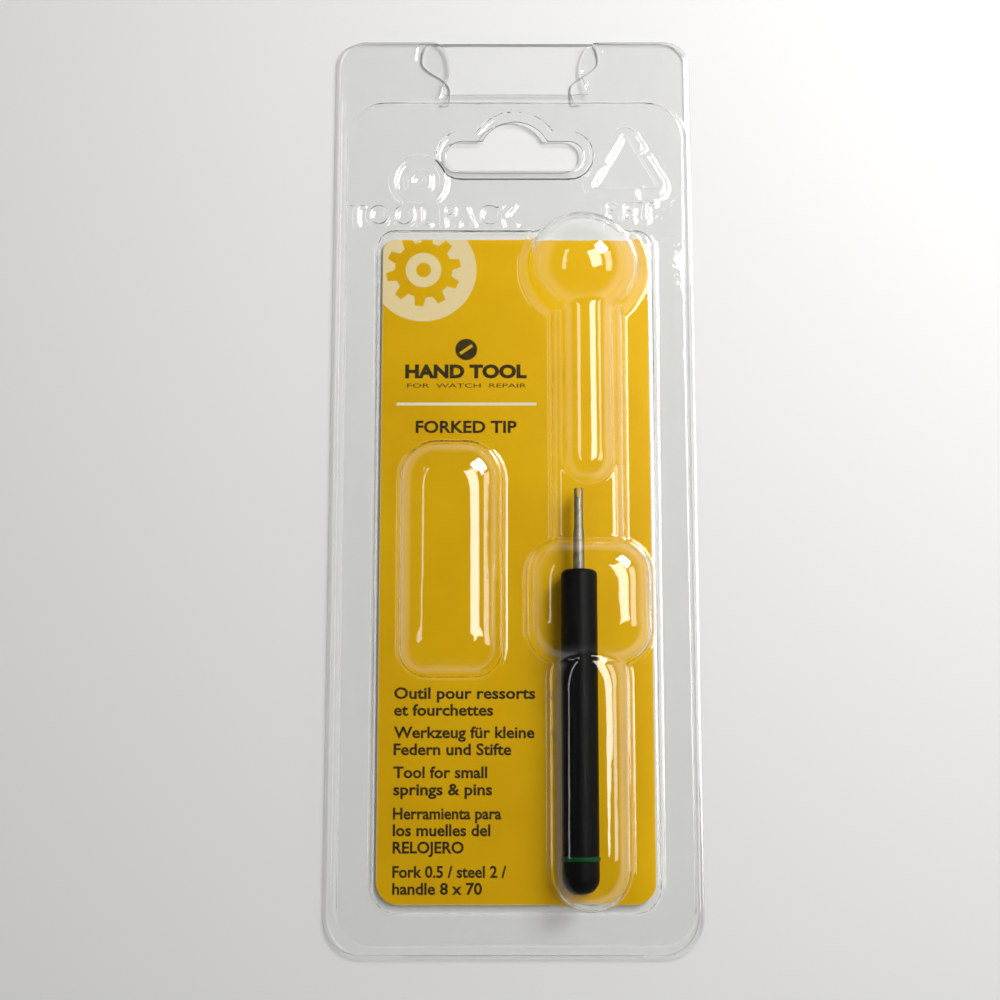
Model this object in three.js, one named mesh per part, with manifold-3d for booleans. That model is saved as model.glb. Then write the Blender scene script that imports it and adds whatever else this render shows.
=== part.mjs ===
// A forked spring tool in its clear folding pack, with the printed card behind it.
// Millimetres, +Z up. The pack lies on its back: +X is its right side, +Y points to the hang hole,
// and the fold that joins its two halves runs along -Y. The origin is under the pack's middle.
import * as THREE from 'three';
import { mergeVertices } from 'three/addons/utils/BufferGeometryUtils.js';
import Module from 'manifold-3d';

const wasm = await Module();
wasm.setup();

// ---------------------------------------------------------------- driving dimensions

const touchGap = 0.3; // between two pieces that lie on each other
const sheet = 0.5; // wall of both formed halves

const card = { width: 61, length: 150, thickness: 0.45, topCorner: 3, bottomCorner: 5 };

const handle = { radius: 4, length: 70.2, topEdge: 1.2, foot: 3.4, bore: 18.5 };
const ring = { fromFoot: 6.8, width: 1.3, depth: 1.2, proud: 0.2, sideClearance: 0.1 };
const blade = { radius: 1.25, shank: 7.3, cone: 2.4, tipRadius: 1, tip: 8.6 };
const fork = { slot: 0.5, depth: 2 };
const fitClearance = 0.1; // blade in its bore, and ring in its groove

const recess = { sideSlack: 0.75, topSlack: 1.4, footSlack: 1.6, rise: 1.2, edge: 0.7 };
const panel = { rise: 1, edge: 0.9, sideMargin: 2.2, footMargin: 2.5, topDrop: 14.9, corner: 9 };
const pack = { sideMargin: 9.15, foldMargin: 8.5, headLength: 46.3, topCorner: 6, foldCorner: 8 };
const foldSkew = 1.2; // how far the two halves lie out of line, side to side

const bulb = { radius: 12.8, baseRadius: 14.6, flareHeight: 2.4, fromRecessTop: 9.5, sideMargin: 1 };
const neck = { width: 16.5, roof: 8.5, lean: 3.2, round: 6 };
const channel = { width: 15, clearance: 0.4, lean: 2.4, round: 3 };
const chamber = { width: 28, topRoom: 7.5, length: 28.8, rise: 1.8, corner: 7, lean: 4, round: 6 };
const slot = { width: 18, footRoom: 3.8, wallMargin: 0.8, clearance: 0.65, lean: 3.2, round: 6 };
const spare = { leftMargin: 5.7, chamberGap: 4.9, foot: 50.9, length: 53.4, roof: 7.3, corner: 6, lean: 3, round: 4.5 };
const toolOffset = 2.2; // the tool lies this far left of its channel's middle

const hangHole = { width: 32, height: 7.3, bumpRadius: 8.35, topDrop: 28.05, land: 2 };
const notch = { width: 34, mouth: 30.6, top: 39, depth: 12.95, mouthDrop: 6.6 };
const tongue = { ears: 41.1, earsDrop: 4.6, neck: 28, neckDrop: 11.6, top: 37.9, foot: 32, footDrop: 15.4, kerf: 0.5 };

// ---------------------------------------------------------------- sizes worked out from them

const recessWidth = card.width + 2 * (recess.sideSlack + sheet);
const recessLength = card.length + recess.topSlack + recess.footSlack + 2 * sheet;
const packWidth = recessWidth + 2 * pack.sideMargin;
const packLength = pack.foldMargin + recessLength + pack.headLength;

const fold = -packLength / 2;
const packTop = packLength / 2;
const recessFoot = fold + pack.foldMargin;
const recessTop = recessFoot + recessLength;
const cardFoot = recessFoot + sheet + recess.footSlack;

const cardBase = sheet + touchGap;
const cardTop = cardBase + card.thickness;
const toolAxis = cardTop + touchGap + handle.radius;
const frontBase = sheet + touchGap;
const frontTop = frontBase + sheet;
const panelTop = frontTop + panel.rise;
const recessRoof = panelTop + recess.rise;

const channelX = recessWidth / 2 - bulb.sideMargin - bulb.baseRadius;
const toolX = channelX - toolOffset;
const slotFoot = recessFoot + slot.wallMargin;
const handleFoot = slotFoot + slot.footRoom;
const handleTop = handleFoot + handle.length;
const bladeTip = handleTop + blade.shank + blade.cone + blade.tip;
const chamberTop = handleTop + chamber.topRoom;
const chamberFoot = chamberTop - chamber.length;
const bulbY = recessTop - bulb.fromRecessTop;

const slotRoof = toolAxis + handle.radius + slot.clearance + sheet;
const chamberRoof = slotRoof + chamber.rise;
const channelRoof = toolAxis + blade.radius + channel.clearance + sheet;
const spareLeft = spare.leftMargin - recessWidth / 2;
const spareRight = channelX - chamber.width / 2 - spare.chamberGap;

const below = -1; // formed hollows and holes are cut from here up
const overlap = 1.5; // how far one cavity runs into the next, so that they open into each other
const turnSegments = 24; // sides of a turned piece

// ---------------------------------------------------------------- solids and outlines

const toSolid = (geometry) => {
  const bare = geometry.clone();
  bare.deleteAttribute('normal');
  bare.deleteAttribute('uv');
  const merged = mergeVertices(bare, 1e-4);
  const mesh = new wasm.Mesh({
    numProp: 3,
    vertProperties: new Float32Array(merged.attributes.position.array),
    triVerts: new Uint32Array(merged.index.array),
  });
  return new wasm.Manifold(mesh);
};

const toGeometry = (solid) => {
  const mesh = solid.getMesh();
  const geometry = new THREE.BufferGeometry();
  geometry.setAttribute('position', new THREE.BufferAttribute(mesh.vertProperties, 3));
  geometry.setIndex(new THREE.BufferAttribute(mesh.triVerts, 1));
  geometry.computeVertexNormals();
  return geometry;
};

const join = (solids) => solids.reduce((whole, solid) => whole.add(solid));

// A flat plate of an outline, between two heights.
const plate = (outline, low, high) => {
  const geometry = new THREE.ExtrudeGeometry(outline, { depth: high - low, bevelEnabled: false, curveSegments: 7 });
  return toSolid(geometry.translate(0, 0, low));
};

// A formed bump: its wall stands up straight from below the sheet, then turns over to the flat top
// in a quarter ellipse that is `lean` wide and `round` high.
const bump = (outline, top, lean, round) => {
  const geometry = new THREE.ExtrudeGeometry(outline, {
    depth: top - round - below,
    bevelSize: lean,
    bevelOffset: -lean,
    bevelThickness: round,
    bevelSegments: 3,
    curveSegments: 5,
  });
  return toSolid(geometry.translate(0, 0, below));
};

// A rectangle with round corners, from its left, right, lower and upper sides.
const roundedBox = (left, right, low, high, lowCorner, highCorner) => {
  const shape = new THREE.Shape();
  shape.moveTo(left + lowCorner, low);
  shape.absarc(right - lowCorner, low + lowCorner, lowCorner, -Math.PI / 2, 0);
  shape.absarc(right - highCorner, high - highCorner, highCorner, 0, Math.PI / 2);
  shape.absarc(left + highCorner, high - highCorner, highCorner, Math.PI / 2, Math.PI);
  shape.absarc(left + lowCorner, low + lowCorner, lowCorner, Math.PI, Math.PI * 1.5);
  shape.closePath();
  return shape;
};

// A slot with full round ends along Y.
const stadium = (x, low, high, width) => {
  const radius = width / 2;
  const shape = new THREE.Shape();
  shape.moveTo(x - radius, low + radius);
  shape.absarc(x, low + radius, radius, Math.PI, 2 * Math.PI);
  shape.absarc(x, high - radius, radius, 0, Math.PI);
  shape.closePath();
  return shape;
};

// ---------------------------------------------------------------- the hang hole and the closure

// A hanger slot with a round rise over its middle; `grow` widens it on every side.
const hangHoleOutline = (grow) => {
  const y = packTop - hangHole.topDrop;
  const half = hangHole.height / 2 + grow;
  const end = hangHole.width / 2 + grow - half;
  const bumpRadius = hangHole.bumpRadius + grow;
  const rise = Math.asin(half / bumpRadius);
  const shape = new THREE.Shape();
  shape.moveTo(-end, y - half);
  shape.absarc(end, y, half, -Math.PI / 2, Math.PI / 2);
  shape.absarc(0, y, bumpRadius, rise, Math.PI - rise);
  shape.absarc(-end, y, half, Math.PI / 2, Math.PI * 1.5);
  return shape;
};

// The bay cut in the front half's upper edge, between two lobes that lean in over its mouth.
const notchOutline = () => {
  const foot = packTop - notch.depth;
  const mouth = packTop - notch.mouthDrop;
  const half = notch.width / 2;
  const lobe = notch.mouth / 2;
  const shoulder = notch.top / 2;
  const shape = new THREE.Shape();
  shape.moveTo(-half, foot);
  shape.lineTo(half, foot);
  shape.bezierCurveTo(half, foot + 2.5, lobe, mouth - 2.5, lobe, mouth);
  shape.bezierCurveTo(lobe, mouth + 3.5, shoulder - 2.5, packTop, shoulder, packTop);
  shape.lineTo(shoulder, packTop + 1);
  shape.lineTo(-shoulder, packTop + 1);
  shape.lineTo(-shoulder, packTop);
  shape.bezierCurveTo(2.5 - shoulder, packTop, -lobe, mouth + 3.5, -lobe, mouth);
  shape.bezierCurveTo(-lobe, mouth - 2.5, -half, foot + 2.5, -half, foot);
  return shape;
};

// The mushroom-shaped tongue of the back half, from its foot to its ears; `grow` widens it.
const tongueOutline = (grow) => {
  const top = packTop - 0.4 + grow;
  const foot = packTop - tongue.footDrop;
  const ears = packTop - tongue.earsDrop;
  const waist = packTop - tongue.neckDrop;
  const footHalf = tongue.foot / 2 + grow;
  const neckHalf = tongue.neck / 2 + grow;
  const earHalf = tongue.ears / 2 + grow;
  const topHalf = tongue.top / 2 + grow;
  const shape = new THREE.Shape();
  shape.moveTo(-footHalf, foot);
  shape.lineTo(footHalf, foot);
  shape.quadraticCurveTo(neckHalf, foot + 1, neckHalf, waist);
  shape.bezierCurveTo(neckHalf, waist + 3, earHalf, ears - 3, earHalf, ears);
  shape.quadraticCurveTo(earHalf, top - 1, topHalf, top);
  shape.lineTo(-topHalf, top);
  shape.quadraticCurveTo(-earHalf, top - 1, -earHalf, ears);
  shape.bezierCurveTo(-earHalf, ears - 3, -neckHalf, waist + 3, -neckHalf, waist);
  shape.quadraticCurveTo(-neckHalf, foot + 1, -footHalf, foot);
  return shape;
};

// ---------------------------------------------------------------- the pack's two halves

const packOutline = () => {
  const half = packWidth / 2;
  return roundedBox(-half, half, fold, packTop, pack.foldCorner, pack.topCorner);
};

// The back half: a flat sheet with the hang hole, and the tongue freed from it by a thin cut.
const backHalf = () => {
  const flat = plate(packOutline(), 0, sheet);
  const freed = flat.subtract(plate(tongueOutline(tongue.kerf), below, sheet + 1));
  const pieceUnderTongue = packTop - tongue.footDrop - overlap;
  const root = roundedBox(-tongue.foot / 2, tongue.foot / 2, pieceUnderTongue, pieceUnderTongue + 2 * overlap, 0.5, 0.5);
  const whole = join([freed, plate(tongueOutline(0), 0, sheet), plate(root, 0, sheet)]);
  return whole.subtract(plate(hangHoleOutline(0), below, sheet + 1));
};

// The domed end of the tool's cavity, turned round Z; `skin` is how far inside the outer wall it lies.
const bulbSolid = (skin) => {
  const radius = bulb.radius - skin;
  const centre = recessRoof;
  const flareTop = bulb.flareHeight - skin;
  const start = Math.asin(flareTop / radius);
  const steps = 8;
  const profile = [new THREE.Vector2(0, below), new THREE.Vector2(bulb.baseRadius - skin, below)];
  profile.push(new THREE.Vector2(bulb.baseRadius - skin, centre - skin));
  for (let step = 0; step < steps; step += 1) {
    const angle = start + ((Math.PI / 2 - start) * step) / steps;
    profile.push(new THREE.Vector2(radius * Math.cos(angle), centre + radius * Math.sin(angle)));
  }
  profile.push(new THREE.Vector2(0, centre + radius));
  const geometry = new THREE.LatheGeometry(profile, 32).rotateX(Math.PI / 2);
  return toSolid(geometry.translate(channelX, bulbY, 0));
};

// The tool's cavity: a slot for the handle, a wide chamber at its end for finger room, a shallow
// channel over the blade, and a neck that runs up to the dome.
const toolCavity = (skin) => {
  const side = (width) => width / 2 - skin;
  const slotShape = stadium(channelX, slotFoot + skin, chamberFoot + 6, slot.width - 2 * skin);
  const chamberCorner = chamber.corner - skin;
  const chamberShape = roundedBox(
    channelX - side(chamber.width),
    channelX + side(chamber.width),
    chamberFoot + skin,
    chamberTop - skin,
    chamberCorner,
    chamberCorner,
  );
  const channelShape = stadium(channelX, chamberTop - 6, bladeTip + 8, channel.width - 2 * skin);
  const neckShape = stadium(channelX, bladeTip + skin, bulbY + overlap, neck.width - 2 * skin);
  return join([
    bump(slotShape, slotRoof - skin, slot.lean, slot.round),
    bump(chamberShape, chamberRoof - skin, chamber.lean, chamber.round),
    bump(channelShape, channelRoof - skin, channel.lean, channel.round),
    bump(neckShape, recessRoof + neck.roof - skin, neck.lean, neck.round),
    bulbSolid(skin),
  ]);
};

// The spare cavity beside it, which is empty.
const spareCavity = (skin) => {
  const low = recessFoot + spare.foot + skin;
  const high = low + spare.length - 2 * skin;
  const corner = spare.corner - skin;
  const shape = roundedBox(spareLeft + skin, spareRight - skin, low, high, corner, corner);
  return bump(shape, recessRoof + spare.roof - skin, spare.lean, spare.round);
};

const panelSolid = (skin) => {
  const half = packWidth / 2 - panel.sideMargin - skin;
  const corner = panel.corner - skin;
  const shape = roundedBox(-half, half, fold + panel.footMargin + skin, packTop - panel.topDrop - skin, corner, corner);
  return bump(shape, panelTop - skin, panel.edge, panel.edge);
};

const recessSolid = (skin) => {
  const half = recessWidth / 2 - skin;
  const shape = roundedBox(-half, half, recessFoot + skin, recessTop - skin, 6 - skin, 4 - skin);
  return bump(shape, recessRoof - skin, recess.edge, recess.edge);
};

// The front half: the flange, the raised panel with a flat land round the hang hole, the card's
// recess, and the cavities, as one wall of even thickness.
const frontHalf = () => {
  const land = plate(hangHoleOutline(hangHole.land), frontTop, recessRoof + 1);
  const landWithWall = plate(hangHoleOutline(hangHole.land + sheet), below, recessRoof + 1);
  const outside = join([
    plate(packOutline(), frontBase, frontTop),
    panelSolid(0).subtract(land),
    recessSolid(0),
    toolCavity(0),
    spareCavity(0),
  ]);
  const inside = join([
    panelSolid(sheet).subtract(landWithWall),
    recessSolid(sheet),
    toolCavity(sheet),
    spareCavity(sheet),
  ]);
  const underside = plate(roundedBox(-packWidth, packWidth, 2 * fold, 2 * packTop, 1, 1), 2 * below - 30, frontBase);
  const holes = join([plate(hangHoleOutline(0), below, panelTop + 1), plate(notchOutline(), below, panelTop + 1)]);
  return outside.subtract(underside).subtract(inside).subtract(holes);
};

// ---------------------------------------------------------------- the card and the tool

const cardGeometry = () => {
  const half = card.width / 2;
  const shape = roundedBox(-half, half, cardFoot, cardFoot + card.length, card.bottomCorner, card.topCorner);
  const geometry = new THREE.ExtrudeGeometry(shape, { depth: card.thickness, bevelEnabled: false, curveSegments: 6 });
  return geometry.translate(0, 0, cardBase);
};

// Points of a quarter circle in the lathe's plane, from one angle to another.
const arc = (x, y, radius, from, to, steps) => {
  const points = [];
  for (let step = 0; step <= steps; step += 1) {
    const angle = from + ((to - from) * step) / steps;
    points.push(new THREE.Vector2(x + radius * Math.cos(angle), y + radius * Math.sin(angle)));
  }
  return points;
};

// A body turned round the tool's axis. The profile's heights run along +Y from the handle's foot.
const turned = (profile, segments) => {
  const geometry = new THREE.LatheGeometry(profile, segments);
  return geometry.translate(toolX, handleFoot, toolAxis);
};

// The moulded handle: a round foot, a groove for the colour ring and a blind bore for the blade.
const handleGeometry = () => {
  const groove = handle.radius - ring.depth;
  const grooveLow = ring.fromFoot - ring.sideClearance;
  const grooveHigh = ring.fromFoot + ring.width + ring.sideClearance;
  const bore = blade.radius + fitClearance;
  const profile = [
    new THREE.Vector2(0, 0),
    ...arc(handle.radius - handle.foot, handle.foot, handle.foot, -Math.PI / 2, 0, 6),
    new THREE.Vector2(handle.radius, grooveLow),
    new THREE.Vector2(groove, grooveLow),
    new THREE.Vector2(groove, grooveHigh),
    new THREE.Vector2(handle.radius, grooveHigh),
    ...arc(handle.radius - handle.topEdge, handle.length - handle.topEdge, handle.topEdge, 0, Math.PI / 2, 4),
    new THREE.Vector2(bore, handle.length),
    new THREE.Vector2(bore, handle.length - handle.bore),
    new THREE.Vector2(0, handle.length - handle.bore),
  ];
  return turned(profile, turnSegments);
};

// The colour ring sits in the groove and stands a little proud of the handle.
const ringGeometry = () => {
  const inner = handle.radius - ring.depth + fitClearance;
  const outer = handle.radius + ring.proud;
  const low = ring.fromFoot;
  const high = ring.fromFoot + ring.width;
  const chamfer = ring.proud;
  const profile = [
    new THREE.Vector2(inner, low),
    new THREE.Vector2(outer - chamfer, low),
    new THREE.Vector2(outer, low + chamfer),
    new THREE.Vector2(outer, high - chamfer),
    new THREE.Vector2(outer - chamfer, high),
    new THREE.Vector2(inner, high),
    new THREE.Vector2(inner, low),
  ];
  return turned(profile, turnSegments);
};

// The steel blade: a shank set in the handle, a cone, and a thin tip with a slot across its end
// that leaves two prongs.
const bladeGeometry = () => {
  const shankFoot = handle.length - handle.bore + fitClearance;
  const coneFoot = handle.length + blade.shank;
  const coneTop = coneFoot + blade.cone;
  const tipEnd = coneTop + blade.tip;
  const edge = 0.2;
  const profile = [
    new THREE.Vector2(0, shankFoot),
    new THREE.Vector2(blade.radius, shankFoot),
    new THREE.Vector2(blade.radius, coneFoot),
    new THREE.Vector2(blade.tipRadius, coneTop),
    new THREE.Vector2(blade.tipRadius, tipEnd - edge),
    new THREE.Vector2(blade.tipRadius - edge, tipEnd),
    new THREE.Vector2(0, tipEnd),
  ];
  const rod = toSolid(turned(profile, turnSegments));
  const cutter = new THREE.BoxGeometry(fork.slot, fork.depth * 2, blade.radius * 4);
  cutter.translate(toolX, handleFoot + tipEnd, toolAxis);
  return toGeometry(rod.subtract(toSolid(cutter)));
};

// ---------------------------------------------------------------- the assembly

const clearSheet = { roughness: 0.08, metalness: 0, transparent: true, opacity: 0.25 };

const piece = (name, geometry, color, finish, x = 0) => {
  const material = new THREE.MeshStandardMaterial({ color, ...finish });
  const mesh = new THREE.Mesh(geometry, material);
  mesh.name = name;
  mesh.position.x = x;
  return mesh;
};

const assembly = new THREE.Group();
assembly.add(
  piece('back_shell', toGeometry(backHalf()), 0xdcdfda, clearSheet, -foldSkew / 2),
  piece('front_shell', toGeometry(frontHalf()), 0xe2e5e0, clearSheet, foldSkew / 2),
  piece('printed_card', cardGeometry(), 0xd7ae03, { roughness: 0.55, metalness: 0 }, foldSkew / 2),
  piece('tool_handle', handleGeometry(), 0x0a0a08, { roughness: 0.45, metalness: 0 }, foldSkew / 2),
  piece('colour_ring', ringGeometry(), 0x0c461e, { roughness: 0.5, metalness: 0 }, foldSkew / 2),
  piece('tool_blade', bladeGeometry(), 0xb8b6a8, { roughness: 0.3, metalness: 1 }, foldSkew / 2),
);

export default assembly;
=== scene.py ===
"""A forked spring tool in its clear folding pack, with a printed card behind it.

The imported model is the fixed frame. Each sub-assembly is a class that models its pieces with
Blender's operators and dresses them; each finish is a small class that makes one material.
Sizes are in millimetres in the classes and become metres as the pieces are made.
"""

import logging
import math
from dataclasses import dataclass
from enum import Enum
from typing import Any, Callable, Optional, Sequence

import bmesh
import bpy
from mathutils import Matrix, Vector


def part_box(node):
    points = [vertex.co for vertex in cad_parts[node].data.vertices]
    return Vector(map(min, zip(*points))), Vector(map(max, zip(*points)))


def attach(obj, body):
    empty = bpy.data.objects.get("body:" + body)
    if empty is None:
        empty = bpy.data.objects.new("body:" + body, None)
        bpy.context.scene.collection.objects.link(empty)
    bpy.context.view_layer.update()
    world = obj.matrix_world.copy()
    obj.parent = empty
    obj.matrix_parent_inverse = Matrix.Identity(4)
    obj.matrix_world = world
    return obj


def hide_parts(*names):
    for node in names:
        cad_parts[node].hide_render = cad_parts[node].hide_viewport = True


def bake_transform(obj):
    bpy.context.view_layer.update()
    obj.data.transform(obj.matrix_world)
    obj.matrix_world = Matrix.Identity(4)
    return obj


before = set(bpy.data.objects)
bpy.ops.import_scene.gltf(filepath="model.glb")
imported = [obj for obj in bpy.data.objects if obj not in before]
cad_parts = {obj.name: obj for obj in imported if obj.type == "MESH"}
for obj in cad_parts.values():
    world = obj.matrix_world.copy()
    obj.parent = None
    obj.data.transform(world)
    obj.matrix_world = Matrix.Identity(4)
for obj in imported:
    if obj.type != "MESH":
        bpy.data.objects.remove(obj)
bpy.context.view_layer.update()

LOG = logging.getLogger("pack")
MM = 0.001

Obj = bpy.types.Object
Material = bpy.types.Material
Plan = tuple[float, float]
Triple = Sequence[float]
Span = tuple[float, float, float, float]
Colour = tuple[float, float, float, float]

NEAR = 1e-3  # millimetres within which two places count as one
COARSE = 0.01  # the same, where an operator has moved them
FACING = 0.9  # least share of a normal along a way for its face to look that way
SQUARE = 0.99  # the same, for a face that lies square to that way
WELD = 1e-7  # metres within which doubled points are merged
CAPITAL = 0.7  # a capital's height as a share of the type's size
PAST = 1.0  # millimetres that a cutter runs past what it cuts
PER_METRE = 1000.0  # millimetres in a metre


def mm(value: float) -> float:
    """Millimetres as metres."""
    return value * MM


def corners(node: str) -> tuple[Vector, Vector]:
    """A CAD node's lowest and highest corners, in millimetres."""
    low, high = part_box(node)
    return Vector(low) / MM, Vector(high) / MM


# ------------------------------------------------------------------ the modelling bench


class Solver(Enum):
    """How a boolean modifier joins, cuts or keeps."""

    JOIN = "UNION"
    CUT = "DIFFERENCE"
    KEEP = "INTERSECT"


class Lie(Enum):
    """The axis that a round bar lies along, as the turn that lays it there."""

    UP = (0.0, 0.0, 0.0)
    ALONG = (-math.pi / 2, 0.0, 0.0)
    ACROSS = (0.0, math.pi / 2, 0.0)


class Pen:
    """Draws an outline from lines, arcs and curves, in millimetres."""

    def __init__(self, x: float, y: float) -> None:
        """Starts the outline at a point."""
        self.points: list[Plan] = [(x, y)]

    def line(self, x: float, y: float) -> "Pen":
        """Draws a straight line to a point."""
        self.points.append((x, y))
        return self

    def curve(self, first: Plan, second: Plan, end: Plan, steps: int = 12) -> "Pen":
        """Draws a cubic curve.

        Args:
            first: the first handle.
            second: the second handle.
            end: where the curve ends.
            steps: how many lines it is drawn with.

        Returns:
            the pen.
        """
        start = self.points[-1]
        for step in range(1, steps + 1):
            t = step / steps
            weights = ((1 - t) ** 3, 3 * t * (1 - t) ** 2, 3 * t * t * (1 - t), t ** 3)
            spots = (start, first, second, end)
            self.points.append(tuple(sum(w * s[i] for w, s in zip(weights, spots)) for i in (0, 1)))
        return self

    def bend(self, handle: Plan, end: Plan, steps: int = 8) -> "Pen":
        """Draws a curve with one handle.

        Args:
            handle: the handle that it bends towards.
            end: where the curve ends.
            steps: how many lines it is drawn with.

        Returns:
            the pen.
        """
        start = self.points[-1]
        first = tuple(a + (b - a) * 2 / 3 for a, b in zip(start, handle))
        second = tuple(a + (b - a) * 2 / 3 for a, b in zip(end, handle))
        return self.curve(first, second, end, steps)

    def arc(self, x: float, y: float, radius: float, start: float, end: float,
            steps: int = 20) -> "Pen":
        """Draws an arc round a centre.

        Args:
            x: the centre's place across.
            y: the centre's place along.
            radius: the arc's radius.
            start: the angle that it starts at, in degrees.
            end: the angle that it ends at, in degrees.
            steps: how many lines it is drawn with.

        Returns:
            the pen.
        """
        for step in range(steps + 1):
            angle = math.radians(start + (end - start) * step / steps)
            self.points.append((x + radius * math.cos(angle), y + radius * math.sin(angle)))
        return self

    def mirrored(self, middle: float) -> list[Plan]:
        """Closes a half outline with its mirror image across the line x = 0.

        Args:
            middle: where that line is moved to.

        Returns:
            the whole outline.
        """
        right = [(x + middle, y) for x, y in self.points]
        left = [(middle - x, y) for x, y in reversed(self.points) if abs(x) > NEAR]
        return right + left


class Bench:
    """Primitives, edit-mode moves and applied modifiers, used as by hand."""

    @staticmethod
    def only(obj: Obj) -> Obj:
        """Makes one object the only one selected, and active.

        Args:
            obj: the object.

        Returns:
            the same object.
        """
        bpy.ops.object.select_all(action="DESELECT")
        obj.select_set(True)
        bpy.context.view_layer.objects.active = obj
        return obj

    @staticmethod
    def settle(name: str) -> Obj:
        """Names the active object and moves its place and size into its mesh.

        Args:
            name: what the object and its mesh are called.

        Returns:
            the object.
        """
        obj = bpy.context.view_layer.objects.active
        obj.name = name
        obj.data.name = name
        Bench.only(obj)
        bpy.ops.object.transform_apply(location=True, rotation=True, scale=True)
        return obj

    @staticmethod
    def block(name: str, low: Triple, high: Triple) -> Obj:
        """A box between two corners.

        Args:
            name: what it is called.
            low: its lowest corner, in millimetres.
            high: its highest corner.

        Returns:
            the closed solid.
        """
        centre = [mm((a + b) / 2) for a, b in zip(low, high)]
        size = [mm(b - a) for a, b in zip(low, high)]
        bpy.ops.object.select_all(action="DESELECT")
        bpy.ops.mesh.primitive_cube_add(size=1, location=centre, scale=size)
        return Bench.settle(name)

    @staticmethod
    def bar(name: str, foot: Triple, radius: float, length: float, lie: Lie = Lie.UP,
            sides: int = 64, top: Optional[float] = None) -> Obj:
        """A round bar or cone.

        Args:
            name: what it is called.
            foot: the middle of its foot, in millimetres.
            radius: its radius, in millimetres.
            length: its length from its foot, in millimetres.
            lie: the axis that it lies along.
            sides: how many sides it has.
            top: the radius of its far end, if it is a cone.

        Returns:
            the closed solid.
        """
        ways = {Lie.UP: (0, 0, 1), Lie.ALONG: (0, 1, 0), Lie.ACROSS: (1, 0, 0)}
        centre = (Vector(foot) + Vector(ways[lie]) * length / 2) * MM
        bpy.ops.object.select_all(action="DESELECT")
        bpy.ops.mesh.primitive_cone_add(
            vertices=sides, radius1=mm(radius), radius2=mm(radius if top is None else top),
            depth=mm(length), location=centre, rotation=lie.value,
        )
        return Bench.settle(name)

    @staticmethod
    def ball(name: str, centre: Triple, radius: float) -> Obj:
        """A round ball.

        Args:
            name: what it is called.
            centre: its centre, in millimetres.
            radius: its radius, in millimetres.

        Returns:
            the closed solid.
        """
        bpy.ops.object.select_all(action="DESELECT")
        bpy.ops.mesh.primitive_uv_sphere_add(
            segments=96, ring_count=48, radius=mm(radius), location=[mm(v) for v in centre]
        )
        return Bench.settle(name)

    @staticmethod
    def plate(name: str, outline: Sequence[Plan], low: float, high: float) -> Obj:
        """A flat plate of an outline.

        Args:
            name: what it is called.
            outline: its corners in order, in millimetres.
            low: the height of its underside.
            high: the height of its face.

        Returns:
            the closed solid.
        """
        curve = bpy.data.curves.new(name, "CURVE")
        curve.dimensions = "2D"
        curve.fill_mode = "BOTH"
        curve.extrude = mm((high - low) / 2)
        spline = curve.splines.new("POLY")
        spline.points.add(len(outline) - 1)
        for point, (x, y) in zip(spline.points, outline):
            point.co = (mm(x), mm(y), 0, 1)
        spline.use_cyclic_u = True
        obj = bpy.data.objects.new(name, curve)
        bpy.context.scene.collection.objects.link(obj)
        Bench.only(obj)
        bpy.ops.object.convert(target="MESH")
        obj = bpy.context.view_layer.objects.active
        obj.location.z = mm((low + high) / 2)
        Bench.settle(name)
        return Bench.sound(obj)

    @staticmethod
    def letters(name: str, text: str, box: Span, low: float, high: float,
                weight: float = 0.012, round_steps: int = 3) -> Obj:
        """Words fitted between two ends and onto a base line.

        Args:
            name: what the mesh is called.
            text: the words.
            box: left end, right end, base line and height of a capital, in millimetres.
            low: the height of their underside.
            high: the height of their face.
            weight: how far the strokes are thickened, as a share of the type's size.
            round_steps: how finely the curves are cut.

        Returns:
            the letters as one mesh.
        """
        left, right, base, capital = box
        bpy.ops.object.select_all(action="DESELECT")
        bpy.ops.object.text_add()
        obj = bpy.context.view_layer.objects.active
        obj.data.body = text
        obj.data.offset = weight
        obj.data.resolution_u = round_steps
        obj.data.extrude = 0.5
        bpy.ops.object.convert(target="MESH")
        obj = bpy.context.view_layer.objects.active
        ends = [v.co.x for v in obj.data.vertices]
        across = (right - left) / (max(ends) - min(ends))
        up = capital / CAPITAL
        obj.scale = (mm(across), mm(up), mm(high - low))
        obj.location = (mm(left - min(ends) * across), mm(base), mm((low + high) / 2))
        Bench.settle(name)
        return Bench.sound(obj)

    @staticmethod
    def sound(obj: Obj) -> Obj:
        """Merges doubled points and turns every face outwards.

        Args:
            obj: the mesh object to mend.

        Returns:
            the same object.
        """
        Bench.only(obj)
        bpy.ops.object.mode_set(mode="EDIT")
        bpy.ops.mesh.select_all(action="SELECT")
        bpy.ops.mesh.remove_doubles(threshold=WELD)
        bpy.ops.mesh.normals_make_consistent(inside=False)
        bpy.ops.object.mode_set(mode="OBJECT")
        return obj

    @staticmethod
    def pick(obj: Obj, edges: Optional[Callable] = None, faces: Optional[Callable] = None,
             points: Optional[Callable] = None) -> None:
        """Enters edit mode with just the elements selected that pass a test.

        Args:
            obj: the object to edit.
            edges: takes an edge's two ends in millimetres.
            faces: takes a face's centre in millimetres and its normal.
            points: takes a point's place in millimetres.
        """
        Bench.only(obj)
        bpy.ops.object.mode_set(mode="EDIT")
        bpy.ops.mesh.select_all(action="DESELECT")
        bpy.ops.mesh.select_mode(type="FACE" if faces else "EDGE" if edges else "VERT")
        mesh = bmesh.from_edit_mesh(obj.data)
        if edges:
            for edge in mesh.edges:
                edge.select_set(edges(*(v.co / MM for v in edge.verts)))
        if faces:
            for face in mesh.faces:
                face.select_set(faces(face.calc_center_median() / MM, face.normal))
        if points:
            for vert in mesh.verts:
                vert.select_set(points(vert.co / MM))
        mesh.select_flush_mode()
        bmesh.update_edit_mesh(obj.data)

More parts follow.
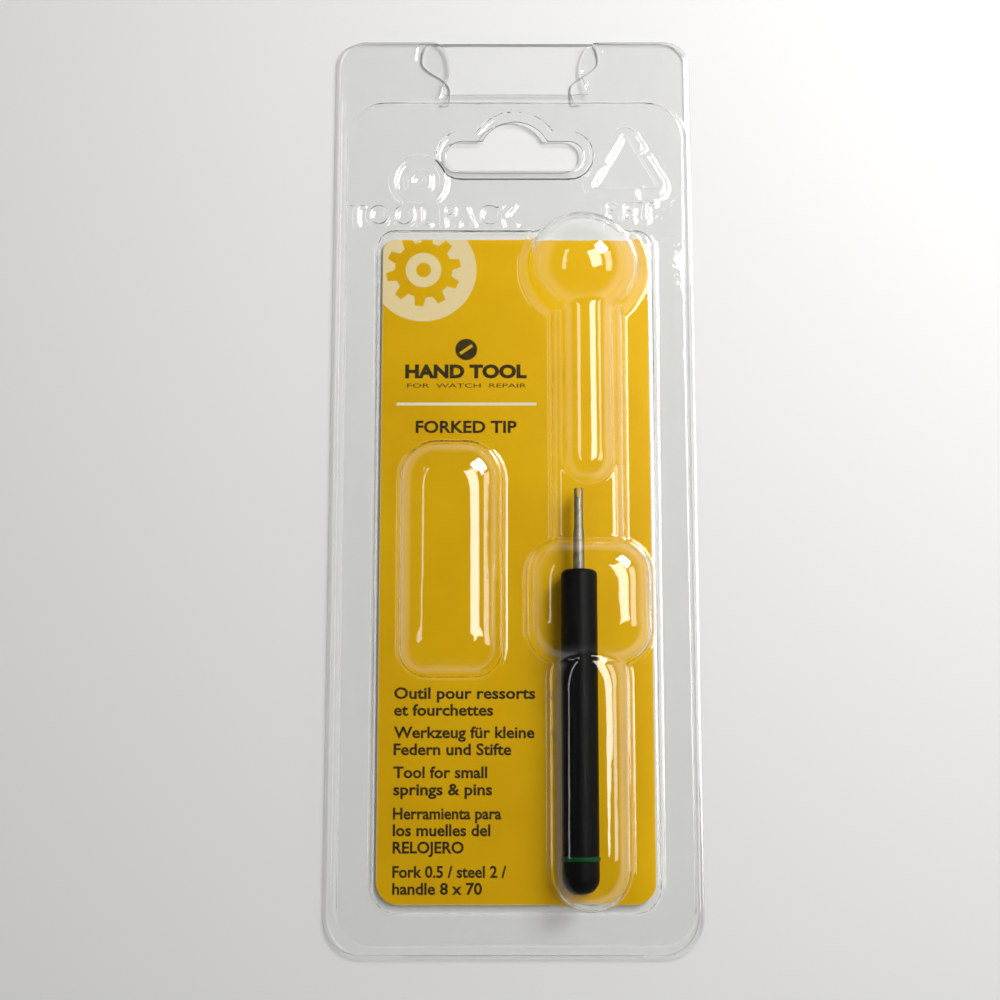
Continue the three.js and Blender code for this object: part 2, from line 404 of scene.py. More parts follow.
    @staticmethod
    def done() -> None:
        """Leaves edit mode."""
        bpy.ops.object.mode_set(mode="OBJECT")

    @staticmethod
    def modifier(obj: Obj, kind: str, **settings: Any) -> Obj:
        """Adds a modifier and applies it.

        Args:
            obj: the object to change.
            kind: the modifier's type.
            **settings: the modifier's own settings.

        Returns:
            the same object.
        """
        Bench.only(obj)
        added = obj.modifiers.new(kind.title(), kind)
        for key, value in settings.items():
            setattr(added, key, value)
        bpy.ops.object.modifier_apply(modifier=added.name)
        return obj

    @staticmethod
    def boolean(obj: Obj, tool: Obj, how: Solver) -> Obj:
        """Joins, cuts or keeps an object by another, which is used up.

        Args:
            obj: the object to change.
            tool: the object that changes it.
            how: what is done.

        Returns:
            the changed object.
        """
        Bench.modifier(obj, "BOOLEAN", object=tool, operation=how.value, solver="EXACT",
                       material_mode="TRANSFER")
        bpy.data.objects.remove(tool)
        return obj

    @staticmethod
    def join(name: str, objects: Sequence[Obj]) -> Obj:
        """Puts several objects into one mesh.

        Args:
            name: what the mesh is called.
            objects: the objects, of which the first takes in the rest.

        Returns:
            the first object.
        """
        Bench.only(objects[0])
        for obj in objects:
            obj.select_set(True)
        bpy.ops.object.join()
        objects[0].name = name
        objects[0].data.name = name
        return objects[0]

    @staticmethod
    def smooth(obj: Obj, degrees: float) -> Obj:
        """Shades smooth, apart from sharp edges.

        Args:
            obj: the object to shade.
            degrees: how far an edge may turn and still be smooth.

        Returns:
            the same object.
        """
        Bench.only(obj)
        bpy.ops.object.shade_smooth_by_angle(angle=math.radians(degrees))
        return obj

    @staticmethod
    def rounded(name: str, low: Triple, high: Triple, foot_corner: float, top_corner: float,
                segments: int = 12) -> Obj:
        """A box whose upright edges are rounded.

        Args:
            name: what it is called.
            low: its lowest corner, in millimetres.
            high: its highest corner.
            foot_corner: the radius of the two edges at its foot.
            top_corner: the radius of the two edges at its top.
            segments: how many faces each rounded edge has.

        Returns:
            the closed solid.
        """
        obj = Bench.block(name, low, high)
        middle = (low[1] + high[1]) / 2
        for corner, wanted in ((foot_corner, -1), (top_corner, 1)):
            Bench.pick(obj, edges=lambda a, b: abs(a.x - b.x) + abs(a.y - b.y) < NEAR
                       and (a.y - middle) * wanted > 0
                       and min(abs(a.x - low[0]), abs(a.x - high[0])) < NEAR)
            bpy.ops.mesh.bevel(offset=mm(corner), segments=segments, affect="EDGES")
            Bench.done()
        return obj

    @staticmethod
    def bump(name: str, low: Triple, high: Triple, corner: Plan, lean: float, turn: float,
             steps: int = 8) -> Obj:
        """A formed bump, whose walls turn over to a flat top in a quarter ellipse.

        Args:
            name: what it is called.
            low: its lowest corner, in millimetres.
            high: its highest corner.
            corner: its radii in plan, at its foot and at its top.
            lean: how far the quarter ellipse runs in from the wall.
            turn: how far below the top it starts.
            steps: how many rings it is drawn with.

        Returns:
            the closed solid.
        """
        shoulder = high[2] - turn
        obj = Bench.rounded(name, low, (high[0], high[1], shoulder), *corner)
        centre = [mm((a + b) / 2) for a, b in zip(low, high)]
        width, length = high[0] - low[0], high[1] - low[1]
        inset = 0.0
        rise = 0.0
        for step in range(1, steps + 1):
            angle = math.pi / 2 * step / steps
            next_inset = lean * (1 - math.cos(angle))
            next_rise = turn * math.sin(angle)
            level = shoulder + rise
            Bench.pick(obj, faces=lambda c, n: n.z > FACING and abs(c.z - level) < NEAR)
            bpy.ops.mesh.extrude_region_move(
                TRANSFORM_OT_translate={"value": (0, 0, mm(next_rise - rise))}
            )
            shrink = (
                (width - 2 * next_inset) / (width - 2 * inset),
                (length - 2 * next_inset) / (length - 2 * inset),
                1,
            )
            bpy.ops.transform.resize(value=shrink, center_override=centre)
            Bench.done()
            inset, rise = next_inset, next_rise
        return obj


# ------------------------------------------------------------------ the paint bench


class Value:
    """A number socket, whose arithmetic adds Math nodes."""

    def __init__(self, paint: "Paint", socket: Any) -> None:
        """Keeps the socket and the paint that it belongs to."""
        self.paint = paint
        self.socket = socket

    def _math(self, operation: str, *inputs: Any) -> "Value":
        """Adds a Math node."""
        return self.paint.math(operation, *inputs)

    def __add__(self, other: Any) -> "Value":
        """Adds."""
        return self._math("ADD", self, other)

    __radd__ = __add__

    def __sub__(self, other: Any) -> "Value":
        """Takes away."""
        return self._math("SUBTRACT", self, other)

    def __rsub__(self, other: Any) -> "Value":
        """Is taken away."""
        return self._math("SUBTRACT", other, self)

    def __mul__(self, other: Any) -> "Value":
        """Multiplies."""
        return self._math("MULTIPLY", self, other)

    __rmul__ = __mul__

    def __truediv__(self, other: Any) -> "Value":
        """Divides."""
        return self._math("DIVIDE", self, other)

    def __pow__(self, other: Any) -> "Value":
        """Raises to a power."""
        return self._math("POWER", self, other)

    def size(self) -> "Value":
        """Its size without its sign."""
        return self._math("ABSOLUTE", self)

    def most(self, other: Any) -> "Value":
        """The larger of two."""
        return self._math("MAXIMUM", self, other)

    def above(self, start: float, end: float) -> "Value":
        """Runs smoothly from 0 at one value to 1 at another.

        Args:
            start: the value that gives 0.
            end: the value that gives 1.

        Returns:
            the share of the way.
        """
        node = self.paint.add(
            "ShaderNodeMapRange", {"interpolation_type": "SMOOTHSTEP"},
            {"Value": self, "From Min": start, "From Max": end, "To Min": 0.0, "To Max": 1.0},
        )
        return Value(self.paint, node.outputs["Result"])


class Paint:
    """A material's node tree, built from Python expressions."""

    def __init__(self, name: str, world: bool = False) -> None:
        """Makes an empty material, or an empty world.

        Args:
            name: what it is called.
            world: whether it is a world.
        """
        self.material = (bpy.data.worlds if world else bpy.data.materials).new(name)
        self.material.use_nodes = True
        self.tree = self.material.node_tree
        self.tree.nodes.clear()
        kind = "ShaderNodeOutputWorld" if world else "ShaderNodeOutputMaterial"
        self.output = self.tree.nodes.new(kind)

    def add(self, kind: str, settings: Optional[dict] = None, inputs: Optional[dict] = None) -> Any:
        """Adds any node.

        Args:
            kind: the node's type.
            settings: its own settings, which are set first.
            inputs: values or links for its sockets, by name or place.

        Returns:
            the node.
        """
        node = self.tree.nodes.new(kind)
        for key, value in (settings or {}).items():
            setattr(node, key, value)
        for key, value in (inputs or {}).items():
            socket = node.inputs[key]
            value = value.socket if isinstance(value, Value) else value
            if isinstance(value, bpy.types.NodeSocket):
                self.tree.links.new(value, socket)
            else:
                socket.default_value = value
        return node

    def math(self, operation: str, *inputs: Any) -> Value:
        """Adds a Math node on numbers or values."""
        node = self.add("ShaderNodeMath", {"operation": operation}, dict(enumerate(inputs)))
        return Value(self, node.outputs[0])

    def place(self) -> Any:
        """The point's place on the piece, in metres."""
        return self.add("ShaderNodeTexCoord").outputs["Object"]

    def axis(self, name: str) -> Value:
        """One coordinate of the point's place, in millimetres."""
        split = self.add("ShaderNodeSeparateXYZ", None, {0: self.place()})
        return Value(self, split.outputs[name]) * PER_METRE

    def mapped(self, stretch: Triple = (1, 1, 1), turn: float = 0.0) -> Any:
        """The point's place in millimetres, for a pattern.

        Args:
            stretch: how much finer the pattern is along each axis.
            turn: how far it is turned flat, in degrees.

        Returns:
            the vector's socket.
        """
        node = self.add("ShaderNodeMapping", None, {
            "Vector": self.place(),
            "Scale": [PER_METRE * s for s in stretch],
            "Rotation": (0.0, 0.0, math.radians(turn)),
        })
        return node.outputs["Vector"]

    def noise(self, scale: float, detail: float = 2.0, stretch: Triple = (1, 1, 1),
              rough: float = 0.55) -> Value:
        """Soft cloudy noise.

        Args:
            scale: its cells for each millimetre.
            detail: how many finer layers it has.
            stretch: how much finer it is along each axis.
            rough: how strong the finer layers are.

        Returns:
            the noise, about 0.5.
        """
        node = self.add("ShaderNodeTexNoise", {"noise_dimensions": "3D"}, {
            "Vector": self.mapped(stretch), "Scale": scale, "Detail": detail, "Roughness": rough,
        })
        return Value(self, node.outputs[0])

    def mix(self, factor: Any, first: Any, second: Any) -> Any:
        """A colour between two colours."""
        node = self.add("ShaderNodeMix", {"data_type": "RGBA"},
                        {"Factor": factor, "A": first, "B": second})
        return node.outputs["Result"]

    def bump(self, height: Value, distance: float, strength: float = 1.0) -> Any:
        """A bumped normal.

        Args:
            height: the pattern that raises the surface.
            distance: how far it raises it, in millimetres.
            strength: how much of that is felt.

        Returns:
            the normal's socket.
        """
        node = self.add("ShaderNodeBump", None, {
            "Height": height, "Distance": mm(distance), "Strength": strength,
        })
        return node.outputs["Normal"]

    def surface(self, inputs: dict) -> Any:
        """A Principled shader."""
        return self.add("ShaderNodeBsdfPrincipled", None, inputs).outputs["BSDF"]

    def finish(self, shader: Any) -> Material:
        """Joins the shader to the output and returns the material."""
        self.tree.links.new(shader, self.output.inputs["Surface"])
        return self.material


def darker(colour: Triple, share: float) -> Colour:
    """A colour with a share of its light."""
    return tuple(level * share for level in colour[:3]) + (1.0,)


# ------------------------------------------------------------------ finishes
#
# A scale is in cells for each millimetre, and a pair of edges is where a pattern starts to show
# and where it shows in full.


@dataclass(frozen=True)
class ClearSheet:
    """Thin clear formed plastic: it bends light, and lets the lamps through in shadow."""

    name: str = "clear_sheet"
    tint: Colour = (0.997, 0.999, 0.996, 1.0)
    shade: Colour = (0.993, 0.994, 0.99, 1.0)
    index: float = 1.6
    wave_scale: float = 0.09
    ripple_scale: float = 0.6
    ripple_share: float = 0.12
    wave_height: float = 0.3
    wave_strength: float = 0.35
    haze_scale: float = 0.5
    haze_edges: Plan = (0.45, 0.8)
    haze: float = 0.03
    gloss: float = 0.012

    def material(self) -> Material:
        """Mixes bent light with light that goes straight through.

        Returns:
            the material.
        """
        paint = Paint(self.name)
        wave = (paint.noise(self.wave_scale, 1.0)
                + paint.noise(self.ripple_scale, 1.0) * self.ripple_share)
        haze = paint.noise(self.haze_scale, 3.0).above(*self.haze_edges)
        glass = paint.surface({
            "Base Color": self.tint,
            "Roughness": (haze * self.haze) + self.gloss,
            "IOR": self.index,
            "Transmission Weight": 1.0,
            "Normal": paint.bump(wave, self.wave_height, self.wave_strength),
        })
        through = paint.add("ShaderNodeBsdfTransparent", None, {"Color": self.shade}).outputs[0]
        path = paint.add("ShaderNodeLightPath").outputs
        lamps = Value(paint, path["Is Shadow Ray"]).most(Value(paint, path["Is Diffuse Ray"]))
        blend = paint.add("ShaderNodeMixShader", None, {0: lamps, 1: glass, 2: through})
        return paint.finish(blend.outputs[0])


@dataclass(frozen=True)
class CutEdgePaintedLine:
    """The die-cut edge of the clear sheet, duller than its face, with its line painted in: the
    default dark grey is painted shade, and a pale colour is a painted highlight.
    """

    name: str = "cut_edge_painted_shade"
    # painted shade: this dark grey stands in for the dark line that light shows along a cut edge
    colour: Colour = (0.13, 0.145, 0.14, 1.0)
    clear: float = 0.35
    index: float = 1.53
    tear_scale: float = 2.5
    tear_stretch: Triple = (1, 1, 0.2)
    tear_shade: float = 0.5
    tear_amount: float = 0.6
    roughness: float = 0.25
    tear_roughness: float = 0.2

    def material(self) -> Material:
        """Streaks the edge with the marks of the die.

        Returns:
            the material.
        """
        paint = Paint(self.name)
        tear = paint.noise(self.tear_scale, 3.0, self.tear_stretch)
        dark = darker(self.colour, self.tear_shade)
        return paint.finish(paint.surface({
            "Base Color": paint.mix(tear * self.tear_amount, self.colour, dark),
            "Roughness": self.roughness + tear * self.tear_roughness,
            "IOR": self.index,
            "Transmission Weight": self.clear,
        }))


@dataclass(frozen=True)
class PrintedBoard:
    """Coated card, printed yellow on its face, with a plain grey back and pale cut edges."""

    name: str
    face: Colour
    low: Vector
    high: Vector
    back: Colour = (0.62, 0.6, 0.55, 1.0)
    pulp: Colour = (0.85, 0.78, 0.55, 1.0)
    deepening: Triple = (0.86, 0.8, 0.6, 1)
    cloud_scale: float = 0.045
    cloud_edges: Plan = (0.3, 0.75)
    cloud_amount: float = 0.55
    speck_scale: float = 2.2
    speck_edges: Plan = (0.35, 0.8)
    speck_amount: float = 0.2
    wear_scale: float = 1.5
    wear_depth: float = 0.25
    wear_edges: Plan = (-0.12, 0.12)
    wear_amount: float = 0.7
    coat_edges: Plan = (-0.2, -0.1)
    fibre_scale: float = 3.0
    fibre_stretch: Triple = (1, 0.3, 1)
    fibre_shade: float = 0.85
    roughness: float = 0.62
    coat_gloss: float = 0.1
    specular: float = 0.12
    grain_height: float = 0.012

    def material(self) -> Material:
        """Prints the face, wears its rim and leaves the back as plain board.

        Returns:
            the material.
        """
        paint = Paint(self.name)
        deep = tuple(c * s for c, s in zip(self.face, self.deepening))
        cloud = paint.noise(self.cloud_scale, 3.0).above(*self.cloud_edges)
        speck = paint.noise(self.speck_scale, 2.0).above(*self.speck_edges)
        ink = paint.mix(cloud * self.cloud_amount + speck * self.speck_amount, self.face, deep)
        middle = (self.low + self.high) / 2
        half = (self.high - self.low) / 2
        side = (paint.axis("X") - middle.x).size() - half.x
        end = (paint.axis("Y") - middle.y).size() - half.y
        rim = side.most(end) + paint.noise(self.wear_scale, 2.0) * self.wear_depth
        ink = paint.mix(rim.above(*self.wear_edges) * self.wear_amount, ink, self.pulp)
        up = paint.axis("Z").above(*(self.high.z + edge for edge in self.coat_edges))
        fibre = paint.noise(self.fibre_scale, 4.0, self.fibre_stretch)
        plain = paint.mix(fibre, darker(self.back, self.fibre_shade), self.back)
        return paint.finish(paint.surface({
            "Base Color": paint.mix(up, plain, ink),
            "Roughness": self.roughness - up * self.coat_gloss + speck * 0.1,
            "Specular IOR Level": self.specular,
            "Normal": paint.bump(fibre + speck * 0.4, self.grain_height, 0.5),
        }))


@dataclass(frozen=True)
class Ink:
    """A printed colour that lies on the card, with the print's fine grain."""

    name: str
    colour: Colour
    under: Colour
    screen: float = 0.0
    screen_turn: float = 22.0
    screen_edges: Plan = (0.35, 0.9)
    screen_amount: float = 0.3
    grain_scale: float = 3.5
    grain_edges: Plan = (0.3, 0.9)
    grain_amount: float = 0.12
    roughness: float = 0.5
    specular: float = 0.12
    grain_height: float = 0.008

    def material(self) -> Material:
        """Lets the board's colour through the grain, and through a line screen if it has one.

        Returns:
            the material.
        """
        paint = Paint(self.name)
        grain = paint.noise(self.grain_scale, 2.0).above(*self.grain_edges)
        amount = grain * self.grain_amount
        if self.screen:
            lines = paint.add("ShaderNodeTexWave", {"wave_type": "BANDS", "bands_direction": "X"}, {
                "Vector": paint.mapped((1, 1, 1), self.screen_turn),
                "Scale": self.screen, "Distortion": 0.4,
            })
            shown = Value(paint, lines.outputs["Fac"]).above(*self.screen_edges)
            amount = amount + shown * self.screen_amount
        return paint.finish(paint.surface({
            "Base Color": paint.mix(amount, self.colour, self.under),
            "Roughness": self.roughness + grain * 0.1,
            "Specular IOR Level": self.specular,
            "Normal": paint.bump(grain, self.grain_height, 0.4),
        }))


@dataclass(frozen=True)
class MouldedPlastic:
    """Solid moulded plastic with a fine grain and light handling marks."""

    name: str
    colour: Colour
    worn: Colour
    roughness: float = 0.34
    specular: float = 0.07
    grain_scale: float = 4.0
    rub_scale: float = 0.22
    rub_stretch: Triple = (1.6, 0.35, 1.6)
    rub_edges: Plan = (0.45, 0.8)
    rub_amount: float = 0.5
    rub_roughness: float = 0.12
    scratch_scale: float = 1.4
    scratch_stretch: Triple = (3.0, 0.06, 3.0)
    scratch_edges: Plan = (0.62, 0.72)
    scratch_amount: float = 0.25
    scratch_height: float = 0.3
    grain_roughness: float = 0.06
    grain_height: float = 0.01
    grain_strength: float = 0.35

    def material(self) -> Material:
        """Rubs and scratches the colour along the piece.

        Returns:
            the material.
        """
        paint = Paint(self.name)
        grain = paint.noise(self.grain_scale, 3.0)
        rub = paint.noise(self.rub_scale, 4.0, self.rub_stretch).above(*self.rub_edges)
        scratch = paint.noise(self.scratch_scale, 2.0, self.scratch_stretch)
        scratch = scratch.above(*self.scratch_edges)
        wear = rub * self.rub_amount + scratch * self.scratch_amount
        height = grain + scratch * self.scratch_height
        return paint.finish(paint.surface({
            "Base Color": paint.mix(wear, self.colour, self.worn),
            "Roughness": self.roughness + rub * self.rub_roughness + grain * self.grain_roughness,
            "Specular IOR Level": self.specular,
            "Normal": paint.bump(height, self.grain_height, self.grain_strength),
        }))


@dataclass(frozen=True)
class TurnedSteel:
    """Turned steel, with fine rings round its axis and dull, oxidised patches."""

    name: str = "turned_steel"
    bright: Colour = (0.25, 0.232, 0.19, 1.0)
    dull: Colour = (0.1, 0.09, 0.07, 1.0)
    ring_scale: float = 2.0
    ring_stretch: Triple = (0.25, 6.0, 0.25)
    ring_amount: float = 0.2
    ring_roughness: float = 0.14
    ring_height: float = 0.012
    stain_scale: float = 0.6
    stain_edges: Plan = (0.45, 0.75)
    stain_amount: float = 0.6
    stain_roughness: float = 0.1
    roughness: float = 0.38

    def material(self) -> Material:
        """Rings and stains the metal.

        Returns:
            the material.
        """
        paint = Paint(self.name)
        rings = paint.noise(self.ring_scale, 4.0, self.ring_stretch)
        stain = paint.noise(self.stain_scale, 3.0).above(*self.stain_edges)
        age = stain * self.stain_amount + rings * self.ring_amount
        rough = self.roughness + rings * self.ring_roughness + stain * self.stain_roughness
        return paint.finish(paint.surface({
            "Base Color": paint.mix(age, self.bright, self.dull),
            "Metallic": 1.0,
            "Roughness": rough,
            "Normal": paint.bump(rings, self.ring_height, 0.5),
        }))


@dataclass(frozen=True)
class PaleTable:
    """The plain pale table top."""

    name: str = "pale_table"
    colour: Colour = (0.86, 0.86, 0.855, 1.0)
    roughness: float = 0.75
    specular: float = 0.2

    def material(self) -> Material:
        """Builds the plain material.

        Returns:
            the material.
        """
        paint = Paint(self.name)
        return paint.finish(paint.surface({
            "Base Color": self.colour,
            "Roughness": self.roughness,
            "Specular IOR Level": self.specular,
        }))


def dress(piece: Obj, material: Material, body: str, slot: str, *nodes: str) -> Obj:
    """Gives a piece its finish, rides it on its body and hides the CAD nodes that it stands for.

    Args:
        piece: the finished piece.
        material: its finish, unless it already carries it.
        body: the body that it rides on.
        slot: not used.
        *nodes: the CAD nodes that it stands for.

    Returns:
        the piece.
    """
    if material.name not in piece.data.materials:
        piece.data.materials.clear()
        piece.data.materials.append(material)
    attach(piece, body)
    if nodes:
        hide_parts(*nodes)
    LOG.info("%s rides on %s with %d faces", piece.name, body, len(piece.data.polygons))
    return piece


# ------------------------------------------------------------------ the clear pack


@dataclass
class Outline:
    """The outlines that both halves of the pack share, in millimetres.

    A drop is measured down from the pack's upper edge, and a half is a half width.
    """

    fold_corner: float = 8.0
    top_corner: float = 6.0
    corner_steps: int = 16
    hole_drop: float = 28.05
    hole_width: float = 32.0
    hole_height: float = 7.3
    hole_rise: float = 8.35
    notch_drop: float = 12.95
    notch_foot: float = 17.0
    notch_mouth: float = 15.3
    notch_top: float = 19.5
    notch_past: float = 2.0
    mouth_drop: float = 6.6
    mouth_handle: float = 2.5
    lobe_handle: float = 3.5
    head_drop: float = 0.4
    ear_drop: float = 4.6
    waist_drop: float = 11.6
    foot_drop: float = 15.4
    head_half: float = 18.95
    ear_half: float = 20.55
    waist_half: float = 14.0
    foot_half: float = 16.0
    waist_handle: float = 3.0
    corner_handle: float = 1.0

    def hang_hole(self, middle: float, top: float, grow: float = 0.0) -> list[Plan]:
        """The hanger slot with a round rise over its middle.

        Args:
            middle: the pack's middle line.
            top: the pack's upper edge.
            grow: how far it is widened on every side.

        Returns:
            the outline.
        """
        y = top - self.hole_drop
        half = self.hole_height / 2 + grow
        end = self.hole_width / 2 + grow - half
        rise = self.hole_rise + grow
        start = math.degrees(math.asin(half / rise))
        pen = Pen(0, y - half).arc(end, y, half, -90, 90).arc(0, y, rise, start, 90)
        return pen.mirrored(middle)

    def notch(self, middle: float, top: float) -> list[Plan]:
        """The bay in the front half's upper edge, with lobes that lean in over its mouth.

        Args:
            middle: the pack's middle line.
            top: the pack's upper edge.

        Returns:
            the outline.
        """
        foot, mouth, past = top - self.notch_drop, top - self.mouth_drop, top + self.notch_past
        half, lobe, shoulder = self.notch_foot, self.notch_mouth, self.notch_top
        bend = self.mouth_handle
        pen = Pen(0, foot).line(half, foot)
        pen.curve((half, foot + bend), (lobe, mouth - bend), (lobe, mouth))
        pen.curve((lobe, mouth + self.lobe_handle), (shoulder - bend, top), (shoulder, top))
        return pen.line(shoulder, past).line(0, past).mirrored(middle)

    def tongue(self, middle: float, top: float, grow: float = 0.0,
               drop: float = 0.0) -> list[Plan]:
        """The tongue from its foot to its ears.

        Args:
            middle: the pack's middle line.
            top: the pack's upper edge.
            grow: how far it is widened on every side.
            drop: how far its foot is lowered.

        Returns:
            the outline.
        """
        head, foot = top - self.head_drop + grow, top - self.foot_drop - drop
        ears, waist = top - self.ear_drop, top - self.waist_drop
        head_half, ear_half = self.head_half + grow, self.ear_half + grow
        waist_half, foot_half = self.waist_half + grow, self.foot_half + grow
        bend, turn = self.waist_handle, self.corner_handle
        pen = Pen(0, foot).line(foot_half, foot)
        pen.bend((waist_half, foot + turn), (waist_half, waist))
        pen.curve((waist_half, waist + bend), (ear_half, ears - bend), (ear_half, ears))
        pen.bend((ear_half, head - turn), (head_half, head))
        return pen.line(0, head).mirrored(middle)


@dataclass
class Embossing:
    """The soft raised marks on the panel: a round badge, plain words and a cut triangle.

    Sizes are in millimetres. A gap is its middle and the way that it runs, in degrees.
    """

    low: float
    high: float
    badge_place: Plan = (-21.6, 69.9)
    badge_radius: float = 6.5
    well_radius: float = 5.3
    hub_radius: float = 3.4
    hub_sides: int = 6
    eye_radius: float = 1.3
    cutter: float = 4.0
    triangle: tuple[Plan, Plan, Plan] = ((33.0, 68.7), (26.2, 80.4), (19.4, 68.7))
    triangle_out: float = 2.7
    triangle_in: float = 0.5
    gaps: tuple[Triple, ...] = ((31.4, 77.3, 30), (21.2, 73.5, 150), (29.6, 66.0, 90))
    gap_half_length: float = 4.0
    gap_half_width: float = 0.45
    words_box: Span = (-37.9, 1.4, 59.1, 5.2)
    code_box: Span = (20.9, 33.0, 60.4, 4.5)
    weight: float = 0.008

    def rounded_triangle(self, radius: float) -> list[Plan]:
        """A triangle with round corners.

        Args:
            radius: how far its sides lie outside its three corner points.

        Returns:
            the outline.
        """
        pen: Optional[Pen] = None
        for (x, y), start in zip(self.triangle, (-90, 30, 150)):
            angle = math.radians(start)
            first = (x + radius * math.cos(angle), y + radius * math.sin(angle))
            pen = pen.line(*first) if pen else Pen(*first)
            pen.arc(x, y, radius, start, start + 120, 10)
        return pen.points

    def disc(self, name: str, radius: float, hole: float, sides: int = 64) -> Obj:
        """A disc with a round hole, at the badge's place.

        Args:
            name: what it is called.
            radius: its radius.
            hole: the radius of its hole.
            sides: how many sides it has.

        Returns:
            the closed solid.
        """
        disc = Bench.bar(name, (*self.badge_place, self.low), radius, self.high - self.low,
                         sides=sides)
        bore = Bench.bar("bore", (*self.badge_place, self.low - PAST), hole, self.cutter)
        return Bench.boolean(disc, bore, Solver.CUT)

    def cut_triangle(self) -> Obj:
        """The triangle's rim, cut through on each side.

        Returns:
            the closed solid.
        """
        under, over = self.low - PAST, self.high + PAST
        outer = self.rounded_triangle(self.triangle_out)
        triangle = Bench.plate("triangle", outer, self.low, self.high)
        inner = self.rounded_triangle(self.triangle_in)
        Bench.boolean(triangle, Bench.plate("inside", inner, under, over), Solver.CUT)
        for x, y, turn in self.gaps:
            way = Vector((math.cos(math.radians(turn)), math.sin(math.radians(turn))))
            side = Vector((-way.y, way.x)) * self.gap_half_width
            shape = [Vector((x, y)) + w * way * self.gap_half_length + s * side
                     for w, s in ((-1, -1), (1, -1), (1, 1), (-1, 1))]
            cut = Bench.plate("gap", [tuple(p) for p in shape], under, over)
            Bench.boolean(triangle, cut, Solver.CUT)
        return triangle

    def build(self) -> list[Obj]:
        """Makes all the marks.

        Returns:
            the closed solids, which overlap the panel's face.
        """
        return [
            self.disc("badge", self.badge_radius, self.well_radius),
            self.disc("hub", self.hub_radius, self.eye_radius, self.hub_sides),
            self.cut_triangle(),
            Bench.letters("words", "TOOL PACK", self.words_box, self.low, self.high, self.weight),
            Bench.letters("code", "PET", self.code_box, self.low, self.high, self.weight),
        ]


@dataclass(frozen=True)
class Bulge:
    """One part of the tool's cavity: its width, and how its walls turn over to its roof."""

    width: float
    corner: float
    lean: float
    turn: float


